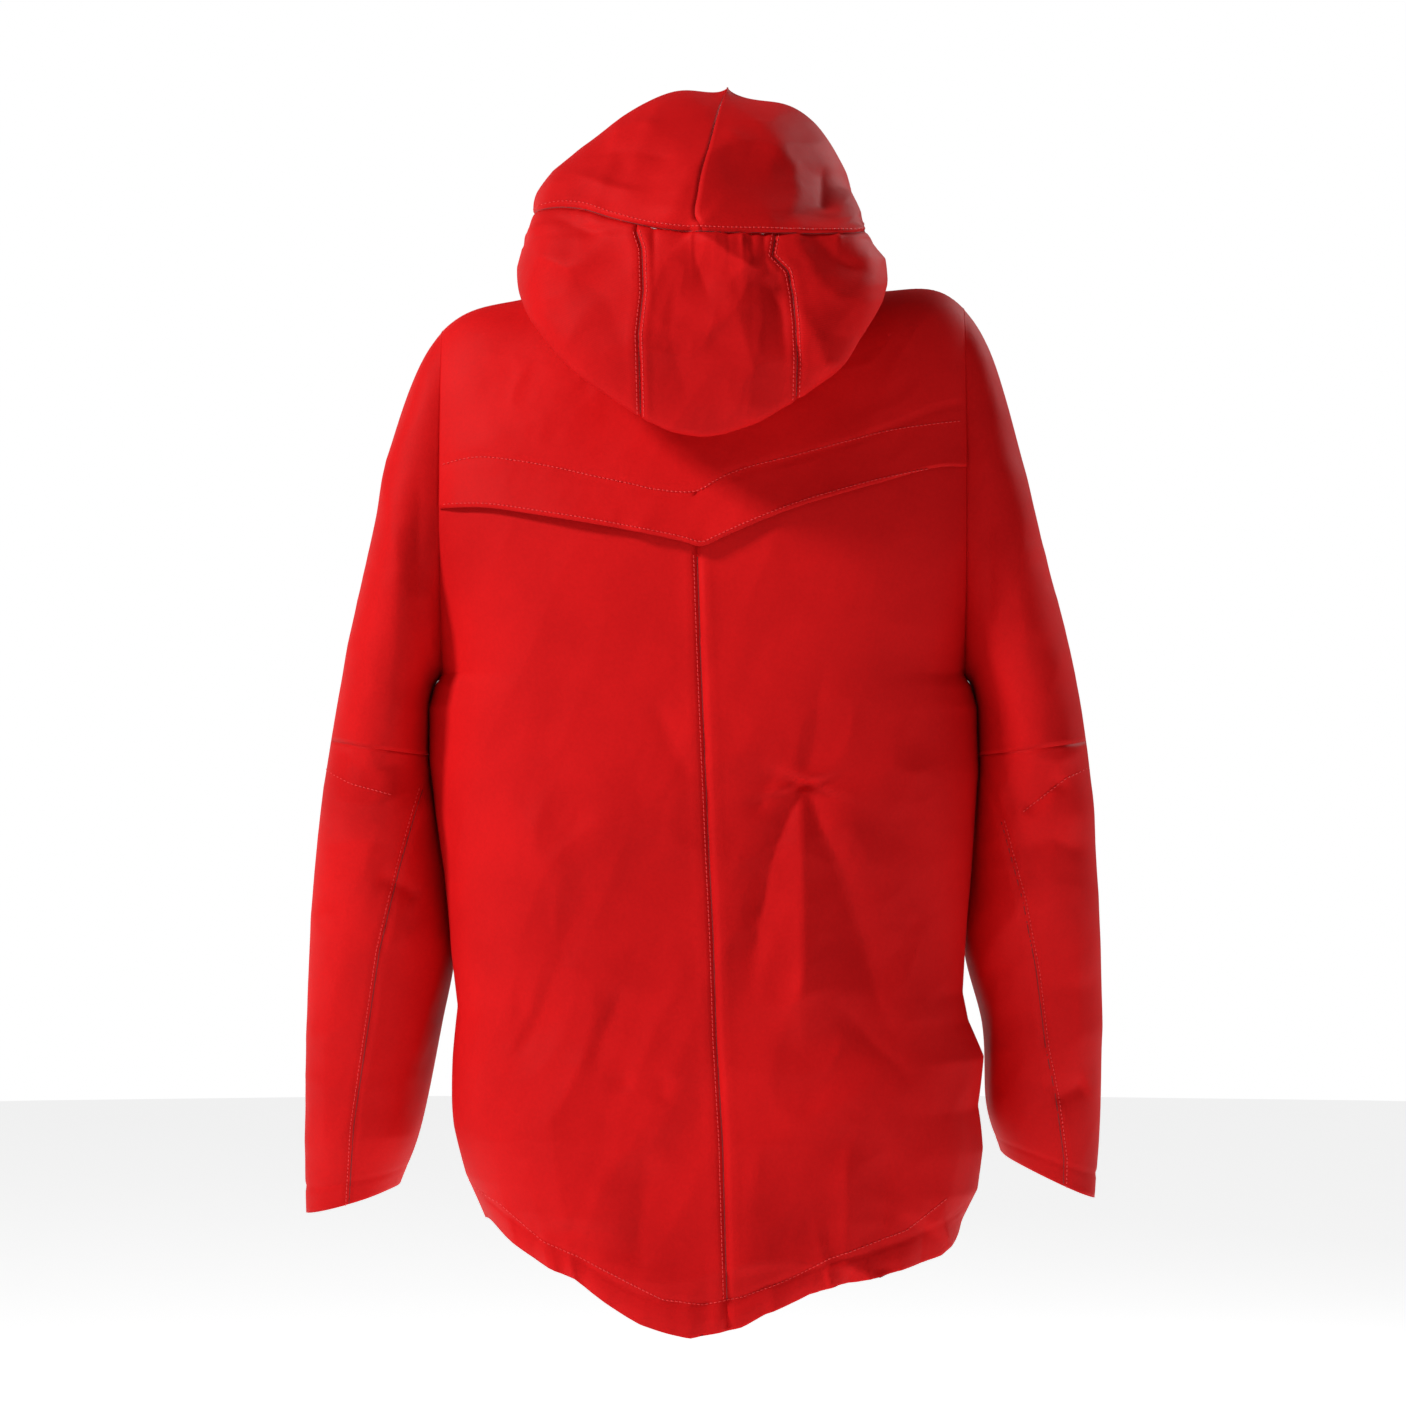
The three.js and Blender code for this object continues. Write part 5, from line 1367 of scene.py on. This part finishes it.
def surface_of(names):
    """One search tree over the outer faces of several cloth pieces."""
    verts, faces, base = [], [], 0
    for name in names:
        mesh = bpy.data.objects[name].data
        co = np.empty(len(mesh.vertices) * 3)
        mesh.vertices.foreach_get("co", co)
        index = np.empty(len(mesh.polygons) * 4, np.int32)
        mesh.polygons.foreach_get("vertices", index)
        verts.append(co.reshape(-1, 3))
        faces.append(index.reshape(-1, 4) + base)
        base += len(mesh.vertices)
    return BVHTree.FromPolygons(np.concatenate(verts).tolist(), np.concatenate(faces).tolist())


def laid_on(tree, line, pitch):
    """Points at even steps of a drawn line, dropped onto the cloth from behind, with their normals."""
    line = np.array(line, float)
    lengths = np.concatenate([[0], np.cumsum(np.linalg.norm(np.diff(line, axis=0), axis=1))])
    s = np.arange(0, lengths[-1], pitch)
    x, z = np.interp(s, lengths, line[:, 0]), np.interp(s, lengths, line[:, 1])
    points, normals = [], []
    for px, pz in zip(x * MM, z * MM):
        hit, normal, _, _ = tree.ray_cast(Vector((px, 0.4, pz)), Vector((0, -1, 0)))
        if hit is not None:
            points.append(hit)
            normals.append(normal if normal.y > 0 else -normal)
    return np.array(points), np.array(normals)


def stitches(name, tree, lines, pitch=3.2):
    """Raised thread dashes along drawn lines, as one mesh of small blocks."""
    base = 0
    verts, faces = [], []
    for line in lines:
        p, n = laid_on(tree, line, pitch)
        if len(p) < 3:
            continue
        tangent = np.gradient(p, axis=0)
        tangent /= np.linalg.norm(tangent, axis=1, keepdims=True)
        across = np.cross(n, tangent)
        across /= np.linalg.norm(across, axis=1, keepdims=True)
        out = np.cross(tangent, across)
        v, f = boxes(p + out * 0.00012, tangent, across, out, np.array([0.00115, 0.00030, 0.00024]))
        verts.append(v)
        faces.append(f + base)
        base += len(v)
    v, f = np.concatenate(verts), np.concatenate(faces)
    obj = new_mesh(name, v, f, block_uv(f, v))
    outward_if_needed(obj)
    obj.data.materials.append(THREAD)
    return obj


def seam_ribbon(name, tree, lines, wide):
    """A thin dark line lying in a seam's groove."""
    verts, faces, base = [], [], 0
    for line in lines:
        p, n = laid_on(tree, line, 2.5)
        if len(p) < 3:
            continue
        tangent = np.gradient(p, axis=0)
        tangent /= np.linalg.norm(tangent, axis=1, keepdims=True)
        across = np.cross(n, tangent)
        across /= np.linalg.norm(across, axis=1, keepdims=True)
        half = wide / 2 * MM
        lift = n * 0.00012
        grid = np.stack([p + across * half - n * 0.0002, p + across * half + lift, p - across * half + lift,
                         p - across * half - n * 0.0002], 1)
        verts.append(grid.reshape(-1, 3))
        f = grid_faces(len(p), 4, True) + base
        caps = np.array([[3, 2, 1, 0], [4 * (len(p) - 1) + k for k in range(4)]]) + base
        faces.append(np.concatenate([f, caps]))
        base += 4 * len(p)
    v, f = np.concatenate(verts), np.concatenate(faces)
    obj = new_mesh(name, v, f, block_uv(f, v))
    outward_if_needed(obj)
    obj.data.materials.append(SEAM_LINE)
    return obj


def beside(line, gap):
    """A line moved sideways by gap."""
    line = np.array(line, float)
    d = np.gradient(line, axis=0)
    d /= np.linalg.norm(d, axis=1, keepdims=True)
    return line + np.stack([-d[:, 1], d[:, 0]], -1) * gap


back_tree = surface_of(["lower_back_left", "lower_back_right"])
yoke_tree = surface_of(["yoke_cloth"])
hood_tree = surface_of(["hood_back_cloth", "hood_side_cloth_left", "hood_side_cloth_right",
                        "hood_crown_cloth_left",
                        "hood_crown_cloth_right"])
x_ = np.linspace(-190, 192, 60)
stitch_line = np.stack([x_, YOKE_STITCH(x_)[..., 0]], -1)
edge_line = np.stack([x_, YOKE_EDGE(x_)[..., 0]], -1)
low_centre = [(4.2, -195)] + CENTRE_SEAM[2:-1] + [(-17.5, -738)]
hem_line = [(176, -662), (150, -672), (118, -697), (91, -707), (60, -722), (30, -737), (0, -741),
            (-30, -735), (-60, -724),
            (-92, -708), (-125, -698), (-150, -690), (-180, -668)]
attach(stitches("yoke_stitches", yoke_tree, [beside(stitch_line, 1.6), beside(edge_line, 3.0)]), "shell")
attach(stitches("back_seam_stitches", back_tree, [beside(low_centre, 2.6)]), "shell")
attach(seam_ribbon("back_seam_line", back_tree, [low_centre], 0.8), "shell")
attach(stitches("hem_stitches", back_tree, [hem_line]), "shell")

ss = np.linspace(-0.6, 0.6, 90)
seam_xyz = hood_shape(ss, hood_seam(ss) + 0.002)
hood_line = [(float(a), float(b)) for a, b in seam_xyz[:, [0, 2]]]
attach(stitches("hood_stitches", hood_tree, [
    [(float(a), float(b)) for a, b in hood_shape(ss, hood_seam(ss) + 0.012)[:, [0, 2]]],
    beside(HOOD_LEFT_SEAM[1:], 2.4), beside(HOOD_LEFT_SEAM[1:], -2.4), beside(HOOD_RIGHT_SEAM[1:], 2.4),
    beside(HOOD_RIGHT_SEAM[1:], -2.4)]), "shell")
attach(seam_ribbon("hood_seam_lines", hood_tree, [HOOD_LEFT_SEAM[1:], HOOD_RIGHT_SEAM[1:], hood_line], 0.8),
        "shell")

for side, word in [(1, "left"), (-1, "right")]:
    tree = surface_of([f"forearm_cloth_{word}"])
    low = [q for q in SLEEVE_SEAM[side] if q[1] < -350]
    more = [[(284, -352), (262, -362), (232, -370)] if side > 0
            else [(-290, -350), (-270, -358), (-237, -384)]]
    tack = stitches(f"sleeve_stitches_{word}", tree, [beside(low, 2.4 * side)] + more)
    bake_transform(tack)
    line_ = seam_ribbon(f"sleeve_seam_line_{word}", tree, [low], 0.8)
    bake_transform(line_)

# ------------------------------------------------------------------ carried-over hardware

LOOKS = {"main_slider": METAL, "main_pull": PLASTIC, "zip_box": PLASTIC}
for word in ("left", "right"):
    LOOKS[f"pocket_slider_{word}"] = METAL
    for kind in ("pocket_pull", "hem_lock", "hem_button", "hood_lock", "hood_button"):
        LOOKS[f"{kind}_{word}"] = PLASTIC
for node, look in LOOKS.items():
    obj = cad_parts[node]
    if obj.material_slots:
        for place_slot in obj.material_slots:
            place_slot.material = look
    else:
        obj.data.materials.append(look)
